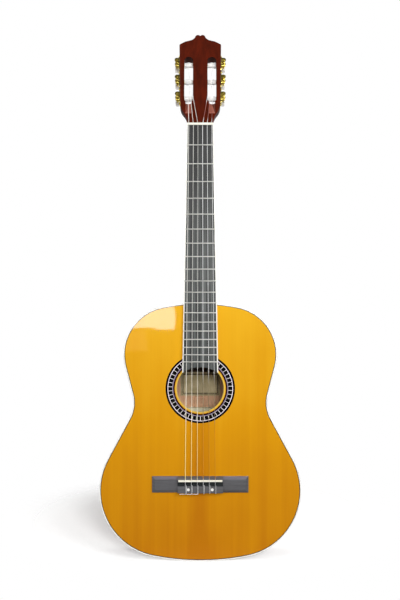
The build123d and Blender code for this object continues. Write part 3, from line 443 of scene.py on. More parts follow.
@dataclass(frozen=True)
class SoundboardVarnish(Finish):
    """Spruce under amber varnish, in two book-matched leaves.

    The tone falls from the neck to the tail, painted light that falls from above. Dark bands mirror
    each other about the seam, faint clouds lie over all, and straight streaks of the grain show
    more towards the tail.
    """

    pale: str = "#f5bb26"
    deep: str = "#c47808"
    body_length: float = 473.0
    painted_light_fall: Pair = (0.08, 0.9)  # tone at the tail and at the neck: painted light, brighter towards the neck
    # distance from the seam, half width and depth of each pair of dark bands
    bands: tuple[Triple, ...] = ((0.0, 34.0, 0.22), (116.0, 24.0, 0.06))
    # width, length, strength at the tail and at the neck of each layer of figure
    layers: tuple[tuple[float, ...], ...] = ((60.0, 120.0, 0.3, 0.25), (11.0, 500.0, 0.34, 0.06))
    ring_spacing: float = 2.6  # real rings are 1.2 mm apart; these are as coarse as shows
    ring_contrast: float = 0.07
    ring_onset: Pair = (0.55, 1.0)  # share of a ring where its dark line starts and is full
    ring_tint: str = "#8a4a10"
    ring_waver: Triple = (1.2, 1.0, 0.02)  # distortion, detail and its scale
    # height of the soundhole's middle, and the two radii between which its sanded rim fades
    hole: Triple = (316.0, 44.6, 45.8)
    rim: str = "#e6c65c"
    rim_strength: float = 0.85
    ripple: Pair = (70.0, 0.4)  # length and height of waves in the varnish

    def tone(self, net: Net, place: NodeSocket) -> NodeSocket:
        """Adds up the painted fall of light, the mirrored bands and the layers of figure.

        Args:
            net: nodes of the material.
            place: place on the top in metres.

        Returns:
            How pale the varnished wood is, from 0 to 1.
        """
        across, _, height = net.add("SeparateXYZ", (place,)).outputs
        body = (0.0, self.body_length * MM)
        # painted light: the top paler towards the neck and deeper towards the tail
        tone = net.add("MapRange", (height, *body, *self.painted_light_fall)).outputs[0]
        seam = net.add("Math", (across,), operation="ABSOLUTE").outputs[0]
        for distance, half_width, depth in self.bands:
            off = net.add("Math", (seam, distance * MM), operation="SUBTRACT").outputs[0]
            off = net.add("Math", (off,), operation="ABSOLUTE").outputs[0]
            feeds = (off, 0.0, half_width * MM, -depth, 0.0)
            band = net.add("MapRange", feeds, interpolation_type="SMOOTHSTEP").outputs[0]
            tone = net.add("Math", (tone, band), operation="ADD").outputs[0]
        for width, length, *strengths in self.layers:
            scales = (1 / (width * MM), 1.0, 1 / (length * MM))
            spread = net.add("Mapping", {"Vector": place, "Scale": scales}).outputs[0]
            feeds = {"Vector": spread, "Scale": 1.0, "Detail": 2.0}
            figure = net.add("TexNoise", feeds).outputs["Fac"]
            figure = net.add("Math", (figure, 0.5), operation="SUBTRACT").outputs[0]
            strength = net.add("MapRange", (height, *body, *strengths)).outputs[0]
            feeds = (figure, strength, tone)
            tone = net.add("Math", feeds, operation="MULTIPLY_ADD").outputs[0]
        return tone

    def pattern(self, net: Net) -> None:
        """Turns the tone to colour, draws fine lines of grain and ripples the varnish.

        Args:
            net: nodes of the material.
        """
        place = net.add("TexCoord").outputs["Object"]
        stops = ((0.0, self.deep), (0.5, self.colour), (1.0, self.pale))
        colour = net.add("ValToRGB", (self.tone(net, place),), stops=stops).outputs[0]
        waver = dict(zip(("Distortion", "Detail", "Detail Scale"), self.ring_waver))
        feeds = {"Vector": place, "Scale": BAND_A_METRE / (self.ring_spacing * MM)} | waver
        rings = net.add("TexWave", feeds, bands_direction="X", wave_profile="SAW").outputs["Fac"]
        feeds = (rings, *self.ring_onset, 0.0, self.ring_contrast)
        lines = net.add("MapRange", feeds).outputs[0]
        feeds = {0: lines, 6: colour, 7: linear(self.ring_tint)}
        colour = net.add("Mix", feeds, data_type="RGBA", blend_type="MULTIPLY").outputs[2]
        middle, bare, varnished = (size * MM for size in self.hole)
        feeds = (place, (0.0, 0.0, middle))
        away = net.add("VectorMath", feeds, operation="DISTANCE").outputs["Value"]
        feeds = (away, bare, varnished, self.rim_strength, 0.0)
        sanded = net.add("MapRange", feeds).outputs[0]
        feeds = {0: sanded, 6: colour, 7: linear(self.rim)}
        colour = net.add("Mix", feeds, data_type="RGBA").outputs[2]
        length, depth = self.ripple
        feeds = {"Vector": place, "Scale": 1 / (length * MM), "Detail": 1.0}
        waves = net.add("TexNoise", feeds).outputs["Fac"]
        normal = net.add("Bump", {"Distance": depth * MM, "Height": waves}).outputs[0]
        net.feed(net.shader, {"Base Color": colour, "Normal": normal, "Coat Normal": normal})


@dataclass(frozen=True)
class Pearloid(Finish):
    """Cast pearl plastic: soft white and grey clouds that fold into each other."""

    shade: str = "#ded9d2"
    cloud_size: float = 5.0
    spread: Pair = (0.35, 0.6)  # where in the clouds shade turns to colour
    stirring: float = 2.5

    def pattern(self, net: Net) -> None:
        """Warped noise stands for the stirred flakes.

        Args:
            net: nodes of the material.
        """
        place = net.add("TexCoord").outputs["Object"]
        feeds = {"Vector": place, "Scale": 1 / (self.cloud_size * MM), "Detail": 3.0}
        clouds = net.add("TexNoise", feeds | {"Distortion": self.stirring}).outputs["Fac"]
        stops = tuple(zip(self.spread, (self.shade, self.colour)))
        colour = net.add("ValToRGB", (clouds,), stops=stops).outputs[0]
        net.feed(net.shader, {"Base Color": colour})


@dataclass(frozen=True)
class MouldedPlastic(Finish):
    """Moulded and buffed plastic: faint clouds of colour, and a polish that comes and goes."""

    shade: str = "#e9e4d8"
    cloud_size: float = 14.0
    spread: Pair = (0.3, 0.6)  # where in the clouds shade turns to colour
    dulled: Pair = (0.3, 0.7)  # where in the clouds wear gives way to polish
    wear: float = 0.15

    def pattern(self, net: Net) -> None:
        """One noise tints the plastic and dulls it a little where it is darker.

        Args:
            net: nodes of the material.
        """
        place = net.add("TexCoord").outputs["Object"]
        feeds = {"Vector": place, "Scale": 1 / (self.cloud_size * MM), "Detail": 3.0}
        clouds = net.add("TexNoise", feeds).outputs["Fac"]
        stops = tuple(zip(self.spread, (self.shade, self.colour)))
        colour = net.add("ValToRGB", (clouds,), stops=stops).outputs[0]
        feeds = (clouds, *self.dulled, self.roughness + self.wear, self.roughness)
        gloss = net.add("MapRange", feeds).outputs[0]
        net.feed(net.shader, {"Base Color": colour, "Roughness": gloss})


@dataclass(frozen=True)
class WornMetal(Finish):
    """Plated or drawn metal: patches where handling has dulled the polish."""

    metallic: float = 1.0
    dull: float = 0.18
    dulled: Pair = (0.35, 0.7)  # where in the patches polish gives way to dullness
    patch_size: float = 6.0

    def pattern(self, net: Net) -> None:
        """Only the roughness changes from patch to patch.

        Args:
            net: nodes of the material.
        """
        place = net.add("TexCoord").outputs["Object"]
        feeds = {"Vector": place, "Scale": 1 / (self.patch_size * MM), "Detail": 4.0}
        patches = net.add("TexNoise", feeds).outputs["Fac"]
        feeds = (patches, *self.dulled, self.roughness, self.roughness + self.dull)
        net.feed(net.shader, {"Roughness": net.add("MapRange", feeds).outputs[0]})


@dataclass(frozen=True)
class StringLine(Finish):
    """A string, with painted reflections of the top and the head that it runs over and painted
    light over the hole.
    """

    end: str = "#ffffff"  # of the whitest stretches, at the ends on the bridge and on the rollers
    # painted reflection of the top, painted light over the soundhole, painted reflection of the
    # head
    painted_top_reflection: str = "#fff2a4"
    painted_light_over_hole: str = "#fff8e4"
    painted_head_reflection: str = "#fff4ee"

    def pattern(self, net: Net) -> None:
        """The colour changes with the height in millimetres.

        Args:
            net: nodes of the material.
        """
        place = net.add("TexCoord").outputs["Object"]
        height = net.add("SeparateXYZ", (place,)).outputs["Z"]
        # painted reflection and painted light, run by run along the string
        runs = (
            (0.0, 150.0, self.end),
            (156.0, 250.0, self.painted_top_reflection),
            (258.0, 325.0, self.painted_light_over_hole),
            (350.0, 806.0, self.colour),
            (812.0, 838.0, self.painted_head_reflection),
            (846.0, 1000.0, self.end),
        )
        stops = [(mark * MM, colour) for *marks, colour in runs for mark in marks]
        colour = net.add("ValToRGB", (height,), stops=stops).outputs[0]
        net.feed(net.shader, {"Base Color": colour})


@dataclass(frozen=True)
class WireWinding(StringLine):
    """Silvered wire wound tightly on a core: fine ridges square to the string."""

    pitch: float = 0.5  # real wire is 0.2 mm thick; this is as coarse as shows
    ridge_depth: float = 0.1
    ridge_strength: float = 0.5

    def pattern(self, net: Net) -> None:
        """Ridges are bump, so the light breaks up along the string.

        Args:
            net: nodes of the material.
        """
        super().pattern(net)
        place = net.add("TexCoord").outputs["Object"]
        feeds = {"Vector": place, "Scale": BAND_A_METRE / (self.pitch * MM)}
        ridges = net.add("TexWave", feeds, bands_direction="Z").outputs["Fac"]
        depth = self.ridge_depth * MM
        feeds = {"Strength": self.ridge_strength, "Distance": depth, "Height": ridges}
        net.feed(net.shader, {"Normal": net.add("Bump", feeds).outputs[0]})


@dataclass(frozen=True)
class ClearNylon(StringLine):
    """Drawn nylon line: glassy, a little cloudy, so that it takes the colour behind it."""

    clearness: float = 0.3

    def pattern(self, net: Net) -> None:
        """The line lets a part of the light through."""
        super().pattern(net)
        net.shader.inputs["Transmission Weight"].default_value = self.clearness


@dataclass(frozen=True)
class Paper(Finish):
    """Aged uncoated paper: cloudy, with short fibres and a plain ruled border."""

    stain: str = "#b7a87c"
    ink: str = "#3d3324"
    middle: float = 316.0  # height of the label's middle
    # half width, half height and line width of each ruled line
    rules: tuple[Triple, ...] = ((35.6, 20.6, 0.6), (33.2, 18.2, 1.5))
    cloud_size: float = 1000 / 60
    spread: Pair = (0.3, 0.65)  # where in the clouds stain turns to colour
    fibre_size: float = 1 / 1.5
    fibre_depth: float = 0.1
    fibre_strength: float = 0.2

    def pattern(self, net: Net) -> None:
        """Large clouds of stain, two ruled lines and a fine fibre relief.

        Args:
            net: nodes of the material.
        """
        place = net.add("TexCoord").outputs["Object"]
        across, _, height = net.add("SeparateXYZ", (place,)).outputs
        height = net.add("Math", (height, self.middle * MM), operation="SUBTRACT").outputs[0]
        across, height = (
            net.add("Math", (away,), operation="ABSOLUTE").outputs[0] for away in (across, height)
        )
        printed: float | NodeSocket = 0.0
        for half_width, half_height, line in self.rules:
            beside, above = (
                net.add("Math", (away, half * MM), operation="SUBTRACT").outputs[0]
                for away, half in ((across, half_width), (height, half_height))
            )
            off = net.add("Math", (beside, above), operation="MAXIMUM").outputs[0]
            off = net.add("Math", (off,), operation="ABSOLUTE").outputs[0]
            inked = net.add("Math", (off, line / 2 * MM), operation="LESS_THAN").outputs[0]
            printed = net.add("Math", (printed, inked), operation="MAXIMUM").outputs[0]
        feeds = {"Vector": place, "Scale": 1 / (self.cloud_size * MM), "Detail": 5.0}
        clouds = net.add("TexNoise", feeds).outputs["Fac"]
        stops = tuple(zip(self.spread, (self.stain, self.colour)))
        colour = net.add("ValToRGB", (clouds,), stops=stops).outputs[0]
        feeds = {0: printed, 6: colour, 7: linear(self.ink)}
        colour = net.add("Mix", feeds, data_type="RGBA").outputs[2]
        feeds = {"Vector": place, "Scale": 1 / (self.fibre_size * MM), "Detail": 2.0}
        fibres = net.add("TexNoise", feeds).outputs["Fac"]
        depth = self.fibre_depth * MM
        feeds = {"Strength": self.fibre_strength, "Distance": depth, "Height": fibres}
        normal = net.add("Bump", feeds).outputs[0]
        net.feed(net.shader, {"Base Color": colour, "Normal": normal})


# Sprayed and polished wood: the clear coat alone carries the gloss.
VARNISHED: dict[str, Any] = {"coat": 1.0, "specular": 0.0}
# Wood of the bridge where a tool has cut it across.
TOOLED: dict[str, Any] = {"grain": Grain.ACROSS, "streaks": (2.0, 60.0), "pore_depth": 0.3}
# Dyed veneers of the mosaic under the top's varnish, with their dark streaks: small bright marks.
MOSAIC = tuple(
    StainedWood(
        f"mosaic_{name}_veneer", colour, dark=dark, streaks=(1.2, 9.0), pore_depth=0.15,
        relief=0.02, **VARNISHED,
    )
    for name, colour, dark in (
        ("black", "#0c0a09", "#050404"),
        ("white", "#fbf8f6", "#ece6e2"),
        ("lilac", "#fdf4ff", "#eee2f2"),
        ("purple", "#a89db2", "#93879c"),
        ("maroon", "#32121c", "#220a11"),
    )
)
FINISHES: tuple[Finish, ...] = (
    *MOSAIC,
    # Spruce sprayed amber and polished: bright, clear and wet-looking.
    SoundboardVarnish(
        "amber_varnished_spruce", "#de990b", roughness=0.5, coat_roughness=0.03, **VARNISHED
    ),
    # The same spruce with no varnish, inside and round the soundhole's edge: pale and dull.
    StainedWood(
        "bare_spruce", "#e3b566", roughness=0.7, dark="#c8913e", streaks=(2.5, 160.0),
        pore_depth=0.1,
    ),
    # Mahogany sprayed dark red-brown and polished: deep and glossy, grain up the guitar.
    StainedWood(
        "red_varnished_mahogany", "#5a1a08", dark="#431306", streaks=(9.0, 220.0), pore_depth=0.3,
        **VARNISHED,
    ),
    # The same on the bent ribs, where the grain follows the rim.
    StainedWood(
        "red_varnished_mahogany_rim", "#5c1d0b", dark="#431306", grain=Grain.ROUND_THE_RIM,
        **VARNISHED,
    ),
    # Mahogany left bare inside the body: pale, with painted shade up towards the neck block.
    StainedWood(
        "bare_mahogany", "#ecbf98", roughness=0.75, dark="#cf9f7c", pore_depth=0.35,
        dusk=(326.0, 339.0, 0.92),
    ),
    # Mahogany cut open on the ramps of the head's slots, thinly stained: a pinkish brown.
    StainedWood("cut_mahogany", "#a8604a", roughness=0.55, dark="#8a4534", pore_depth=0.35),
    # Mahogany stained red with little varnish, on the head's edges and slot walls: no shine, and
    # darker than the face as painted shade.
    StainedWood(
        "matte_mahogany_painted_shade", "#3e1308", roughness=0.6, specular=0.05, dark="#2c0c05",
        pore_depth=0.35,
    ),
    # Spruce split and planed for the bars across the back: a pale stripe in the soundhole.
    StainedWood(
        "bar_spruce", "#f2efd2", roughness=0.7, dark="#dcd6ae", grain=Grain.ACROSS,
        streaks=(2.5, 160.0), pore_depth=0.1,
    ),
    # Maple dyed black and oiled: streaky dark grey, darker towards the nut.
    StainedWood(
        "ebonised_maple_board", "#5e6260", specular=0.3, dark="#1f2121", streaks=(2.6, 180.0),
        contrast=(0.38, 0.62), pore_depth=0.45, dusk=(470.0, 800.0, 0.9),
    ),
    # The same maple along the bridge, where light grazes it and greys it.
    StainedWood(
        "ebonised_maple_bridge", "#616164", dark="#515052", grain=Grain.ACROSS,
        streaks=(3.0, 90.0), pore_depth=0.3,
    ),
    # The bridge where rasp and chisel left it: bevels paler with painted light where they face up,
    # and a dark trough by the saddle, with the raised body's ends, in painted shade.
    StainedWood("ebonised_maple_bevel", "#6f6872", roughness=0.45, dark="#5d5861", **TOOLED),
    StainedWood(
        "ebonised_maple_trough", "#34393a", roughness=0.6, specular=0.2, dark="#1f2222", **TOOLED
    ),
    # Black fibre strip inlaid beside the binding and varnished over: a thin dark line.
    StainedWood(
        "black_fibre_line", "#1b1815", roughness=0.3, coat=1.0, dark="#0e0c0a",
        streaks=(1.5, 20.0),
    ),
    # Moulded plastic, buffed: white on the edges, ivory for nut and saddle, and the rollers.
    MouldedPlastic("white_binding_plastic", "#fdfcf6", roughness=0.2, shade="#f0ede3"),
    MouldedPlastic(
        "moulded_nut_plastic", "#fbf9ea", roughness=0.25, shade="#f1eedb", cloud_size=8.0
    ),
    MouldedPlastic(
        "moulded_roller_plastic", "#fdfbf7", roughness=0.3, shade="#f1eee8", cloud_size=5.0
    ),
    # Nickel silver drawn to fret wire: white, dulled by fingers.
    WornMetal("nickel_silver", "#dcdad4", roughness=0.34),
    # Brass stamped and cut, then plated with thin gold: bright yellow glints.
    WornMetal("gold_plated_brass", "#d8c364", roughness=0.18),
    # Turned steel under the bridge, as the lathe left it: grey and bright.
    WornMetal("plain_steel", "#8f8d8a", roughness=0.3),
    # Silvered copper wire on the basses: pale and softly ribbed.
    # Along the top, the soundhole and the head it carries painted reflection and painted light.
    WireWinding("silvered_winding", "#dddcd6", roughness=0.45, metallic=0.2),
    # Extruded nylon on the trebles: clear enough to sink into the colour behind it. Its IOR
    # is below nylon's 1.53, so that a line this thin doesn't mirror the whole room.
    # Its amber, grey and rosy tones along the top, the soundhole and the head are painted
    # reflection and painted shade.
    ClearNylon(
        "clear_nylon", "#ffffff", roughness=0.12, ior=1.14, painted_top_reflection="#e2a032", painted_light_over_hole="#ab9c80",
        painted_head_reflection="#b4746a",
    ),
    # Pearl plastic cast and tumbled, in the buttons and the bridge's dots: a milky shimmer.
    Pearloid("pearloid_button", "#fdfbf8", roughness=0.22, coat=0.6),
    Pearloid("pearl_dot", "#fbfaf6", roughness=0.2, shade="#e4e0dc", cloud_size=1.5),
    # Uncoated paper, yellowed in the box: cloudy and without any shine.
    Paper("blank_paper_label", "#d3c49b", roughness=0.85),
)


# Sub-assemblies ----------------------------------------
@dataclass(frozen=True)
class Guitar:
    """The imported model: its nodes and joints, and the materials that dress it."""

    nodes: dict[str, Object]
    joints: dict[str, dict[str, Any]]

    @classmethod
    def load(cls) -> Guitar:
        """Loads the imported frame, undressed."""
        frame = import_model()
        return cls(frame["nodes"], {joint["name"]: joint for joint in frame["joints"]})

    @cached_property
    def materials(self) -> dict[str, Material]:
        """Every finish by its label, built once."""
        return {finish.label: finish.build() for finish in FINISHES}

    def pivot(self, joint: str) -> tuple[Vector, Vector]:
        """Place and direction of a joint, in metres."""
        entry = self.joints[joint]
        return Vector(entry["pos_m"]), Vector(entry["axis"]).normalized()

    def dress(self, piece: Object | str, *finishes: str) -> Object:
        """Gives a piece its finishes, the first of them on every face.

        Args:
            piece: the piece, or the name of a node.
            finishes: labels of the finishes in the order of the slots.

        Returns:
            The piece.
        """
        if isinstance(piece, str):
            piece = self.nodes[piece]
        cover(piece, *(self.materials[name] for name in finishes))
        return piece


@dataclass(frozen=True)
class SoundBox:
    """Top, back, ribs, bindings and what is glued inside them."""

    guitar: Guitar
    middle_height: float = 236.0
    varnish_depth: float = 0.1  # how deep the varnish goes over the top's edges
    inner_slope: float = -0.5  # the back's inner faces have a normal whose Y is below this
    seam_strip: Pair = (12.0, 79.0)  # half width, and how deep it starts
    rest: tuple[tuple[str, str], ...] = (
        ("lining_front", "bare_spruce"),
        ("lining_back", "bare_spruce"),
        ("top_braces", "bare_spruce"),
        ("tail_block", "bare_mahogany"),
        ("neck_block", "bare_mahogany"),
        ("binding_front", "white_binding_plastic"),
        ("binding_back", "white_binding_plastic"),
        ("purfling_front", "black_fibre_line"),
        ("label", "blank_paper_label"),
    )

    def inside(self, middle: Vector, normal: Vector) -> bool:
        """True for a face of the rim that looks towards the body's middle."""
        return normal.x * middle.x + normal.z * (middle.z - self.middle_height * MM) <= 0

    def dress(self) -> None:
        """Gives every piece of the box its finishes."""
        top = self.guitar.dress("soundboard", "amber_varnished_spruce", "bare_spruce")
        pick_faces(top, 1, lambda middle, normal: middle.y > self.varnish_depth * MM)
        back = self.guitar.dress("back", "red_varnished_mahogany", "bare_mahogany")
        pick_faces(back, 1, lambda middle, normal: normal.y < self.inner_slope)
        for side in Side:
            name = f"rib_{side.value}"
            rib = self.guitar.dress(name, "red_varnished_mahogany_rim", "bare_mahogany")
            pick_faces(rib, 1, self.inside)
        bars = self.guitar.dress("back_braces", "bar_spruce", "bare_mahogany")
        half, deep = (size * MM for size in self.seam_strip)
        pick_faces(bars, 1, lambda middle, normal: abs(middle.x) < half and middle.y > deep)
        for name, finish in self.rest:
            self.guitar.dress(name, finish)


@dataclass(frozen=True)
class Rosette:
    """Inlaid ring round the soundhole: lines of veneer with square tiles between them."""

    guitar: Guitar
    outer_radius: float = 63.6
    depth: float = 1.2
    tile_count: int = 46
    tile_gap: float = 0.9  # degrees of white between neighbouring tiles
    rings: tuple[tuple[float, str], ...] = (
        # inner radius of each ring, from the outside in, and its veneer
        (63.0, "maroon"),
        (59.9, "black"),
        (58.7, "lilac"),
        (51.2, TILES),
        (49.7, "purple"),
        (46.8, "maroon"),
    )

    @cached_property
    def hole_height(self) -> float:
        """Height of the soundhole's middle, in millimetres."""
        low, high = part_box("rosette")
        return (low[2] + high[2]) / 2 / MM

    def band(
        self, mesh: BMesh, inner: float, outer: float, start: float, end: float
    ) -> list[BMFace]:
        """Adds one block of veneer bent between two radii.

        Args:
            mesh: geometry that gets the block.
            inner: inner radius in millimetres.
            outer: outer radius in millimetres.
            start: first angle in degrees.
            end: last angle in degrees.

        Returns:
            The faces of the block.
        """
        whole = end - start >= 360
        steps = max(2, round((end - start) / 2))
        corners = ((outer, 0.0), (inner, 0.0), (inner, self.depth), (outer, self.depth))
        rows = []
        for step in range(steps if whole else steps + 1):
            turn = math.radians(start + (end - start) * step / steps)
            row = []
            for radius, depth in corners:
                across = radius * math.sin(turn)
                height = self.hole_height + radius * math.cos(turn)
                row.append(mesh.verts.new(Vector((across, depth, height)) * MM))
            rows.append(row)
        return skin(mesh, rows, whole)

    def dress(self) -> None:
        """Lays the rings and tiles, which ride on the body."""
        veneers = [finish.label for finish in MOSAIC]
        mesh = bmesh.new()

        def lay(veneer: str, *sector: float) -> None:
            """Adds a block between two radii and two angles, in one veneer."""
            for face in self.band(mesh, *sector):
                face.material_index = veneers.index(f"mosaic_{veneer}_veneer")

        outer, pitch = self.outer_radius, 360 / self.tile_count
        for inner, veneer in self.rings:
            if veneer != TILES:
                lay(veneer, inner, outer, 0, 360)
            else:
                for tile in range(self.tile_count):
                    start = tile * pitch
                    edge = start + pitch - self.tile_gap
                    lay("black", inner, outer, start, edge)
                    lay("white", inner, outer, edge, start + pitch)
            outer = inner
        piece = to_object("rosette_mosaic", mesh, crease=20.0)
        for veneer in veneers:
            piece.data.materials.append(self.guitar.materials[veneer])
        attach(piece, "root")
        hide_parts("rosette")


@dataclass(frozen=True)
class Neck:
    """Neck, heel, head, fingerboard, frets and nut."""

    guitar: Guitar
    slot_walls: Pair = (13.4, 30.0)  # inner and outer wall of the head's slots
    slot_middle: float = 21.7
    ramps: Pair = (816.0, 846.0)  # lowest and highest point
    ramp_slope: Pair = (-0.9, 0.1)  # range of Y in the normals of the ramps
    edge_slope: float = 0.6  # the same for the head's edges and slot walls, either way
    rest: tuple[tuple[str, str], ...] = (
        ("neck", "red_varnished_mahogany"),
        ("heel_cap", "red_varnished_mahogany"),
        ("fingerboard", "ebonised_maple_board"),
        ("fingerboard_binding", "white_binding_plastic"),
        ("frets", "nickel_silver"),
        ("nut", "moulded_nut_plastic"),
    )

    def on_ramp(self, middle: Vector, normal: Vector) -> bool:
        """Says whether a face is a ramp at the nut's end of the head's two slots.

        Args:
            middle: middle of the face in metres.
            normal: direction that it faces.

        Returns:
            True for a ramp.
        """
        across = abs(middle.x) / MM
        inner, outer = self.slot_walls
        low, high = self.ramps
        flat, steep = self.ramp_slope
        outside = normal.x * middle.x > 0 and across > self.slot_middle
        in_slot = inner < across < outer and low < middle.z / MM < high
        return in_slot and not outside and flat < normal.y < steep

    def dress(self) -> None:
        """Gives the neck's pieces their finishes."""
        finishes = ("red_varnished_mahogany", "cut_mahogany", "matte_mahogany_painted_shade")
        head = self.guitar.dress("headstock", *finishes)
        # the head's edges and slot walls get the darker matte mahogany, painted shade
        pick_faces(head, 2, lambda middle, normal: abs(normal.y) < self.edge_slope)
        pick_faces(head, 1, self.on_ramp)
        for name, finish in self.rest:
            self.guitar.dress(name, finish)


@dataclass(frozen=True)
class Bridge:
    """Bridge, saddle and the two bolts under their pearl dots."""

    guitar: Guitar
    body_half: float = 41.5
    trough: Pair = (138.9, 147.2)  # lowest and highest point
    end_slack: float = 0.1  # how near to the body's end a face of that end lies
    end_slope: float = 0.9  # such a face has a normal whose X is above this, either way
    bevel_slope: Pair = (0.35, -0.8)  # lowest Z and highest Y of its normals

    def sunken(self, middle: Vector, normal: Vector) -> bool:
        """Says whether a face is in the trough by the saddle or an end of the raised body.

        Args:
            middle: middle of the face in metres.
            normal: direction that it faces.

        Returns:
            True for such a face.
        """
        across, height = abs(middle.x) / MM, middle.z / MM
        low, high = self.trough
        in_trough = across < self.body_half and low < height < high
        near_end = abs(across - self.body_half) < self.end_slack
        return in_trough or near_end and abs(normal.x) > self.end_slope

    def bevelled(self, middle: Vector, normal: Vector) -> bool:
        """True for the wings' bevels on the side of the soundhole."""
        rise, facing = self.bevel_slope
        return normal.z > rise and normal.y < facing

    def dress(self) -> None:
        """Gives the bridge's pieces their finishes."""
        finishes = (f"ebonised_maple_{place}" for place in ("bridge", "bevel", "trough"))
        bridge = self.guitar.dress("bridge", *finishes)
        # bevels paler as painted light; trough and the raised body's ends darker as painted shade
        pick_faces(bridge, 1, self.bevelled)
        pick_faces(bridge, 2, self.sunken)
        self.guitar.dress("saddle", "moulded_nut_plastic")
        self.guitar.dress("bolt_caps", "pearl_dot")
        self.guitar.dress("bridge_bolts", "plain_steel")


@dataclass(frozen=True)
class Strings:
    """Three wound basses and three clear trebles."""

    guitar: Guitar
    wound: tuple[str, ...] = ("string_e_low", "string_a", "string_d")
    plain: tuple[str, ...] = ("string_g", "string_b", "string_e_high")
    # where the tucked end of each bass starts and stops, from the lowest string up
    tails: tuple[Pair, ...] = ((-25.2, -38.0), (-14.6, -24.7), (-3.9, -14.1))
    tail_radius: float = 0.45
    tie_block: Pair = (-8.4, 126.5)  # depth and height of its rear edge
    tail_drop: float = 2.1  # how far the tucked ends lie under that edge

    def tuck(self, number: int) -> None:
        """Builds the end of one bass string, tucked along the bridge's rear edge.

        Args:
            number: place of the string among the basses, from the lowest.
        """
        start, stop = self.tails[number]
        depth, height = self.tie_block
        low = height - self.tail_drop
        # over the edge, then along it with a slight bow, and its tip under the block
        path = [
            (start, depth - 0.3, height - 0.9),
            (start - 1.6, depth + 0.7, low),
            (start - 5.0, depth + 0.9, low - 0.1),
            ((start + stop) / 2 - 1.5, depth + 0.7, low + 0.1),
            (stop + 1.5, depth + 0.8, low - 0.1),
            (stop, depth + 0.5, low),
        ]
        corners = [Vector(point) * MM for point in path]
        piece = tube(f"tucked_end_{number + 1}", corners, self.tail_radius * MM)
        self.guitar.dress(piece, "silvered_winding")
        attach(piece, "root")

    def dress(self) -> None:
        """Gives the strings their finishes."""
        for number, name in enumerate(self.wound):
            self.guitar.dress(name, "silvered_winding")
            self.tuck(number)
        for name in self.plain:
            self.guitar.dress(name, "clear_nylon")


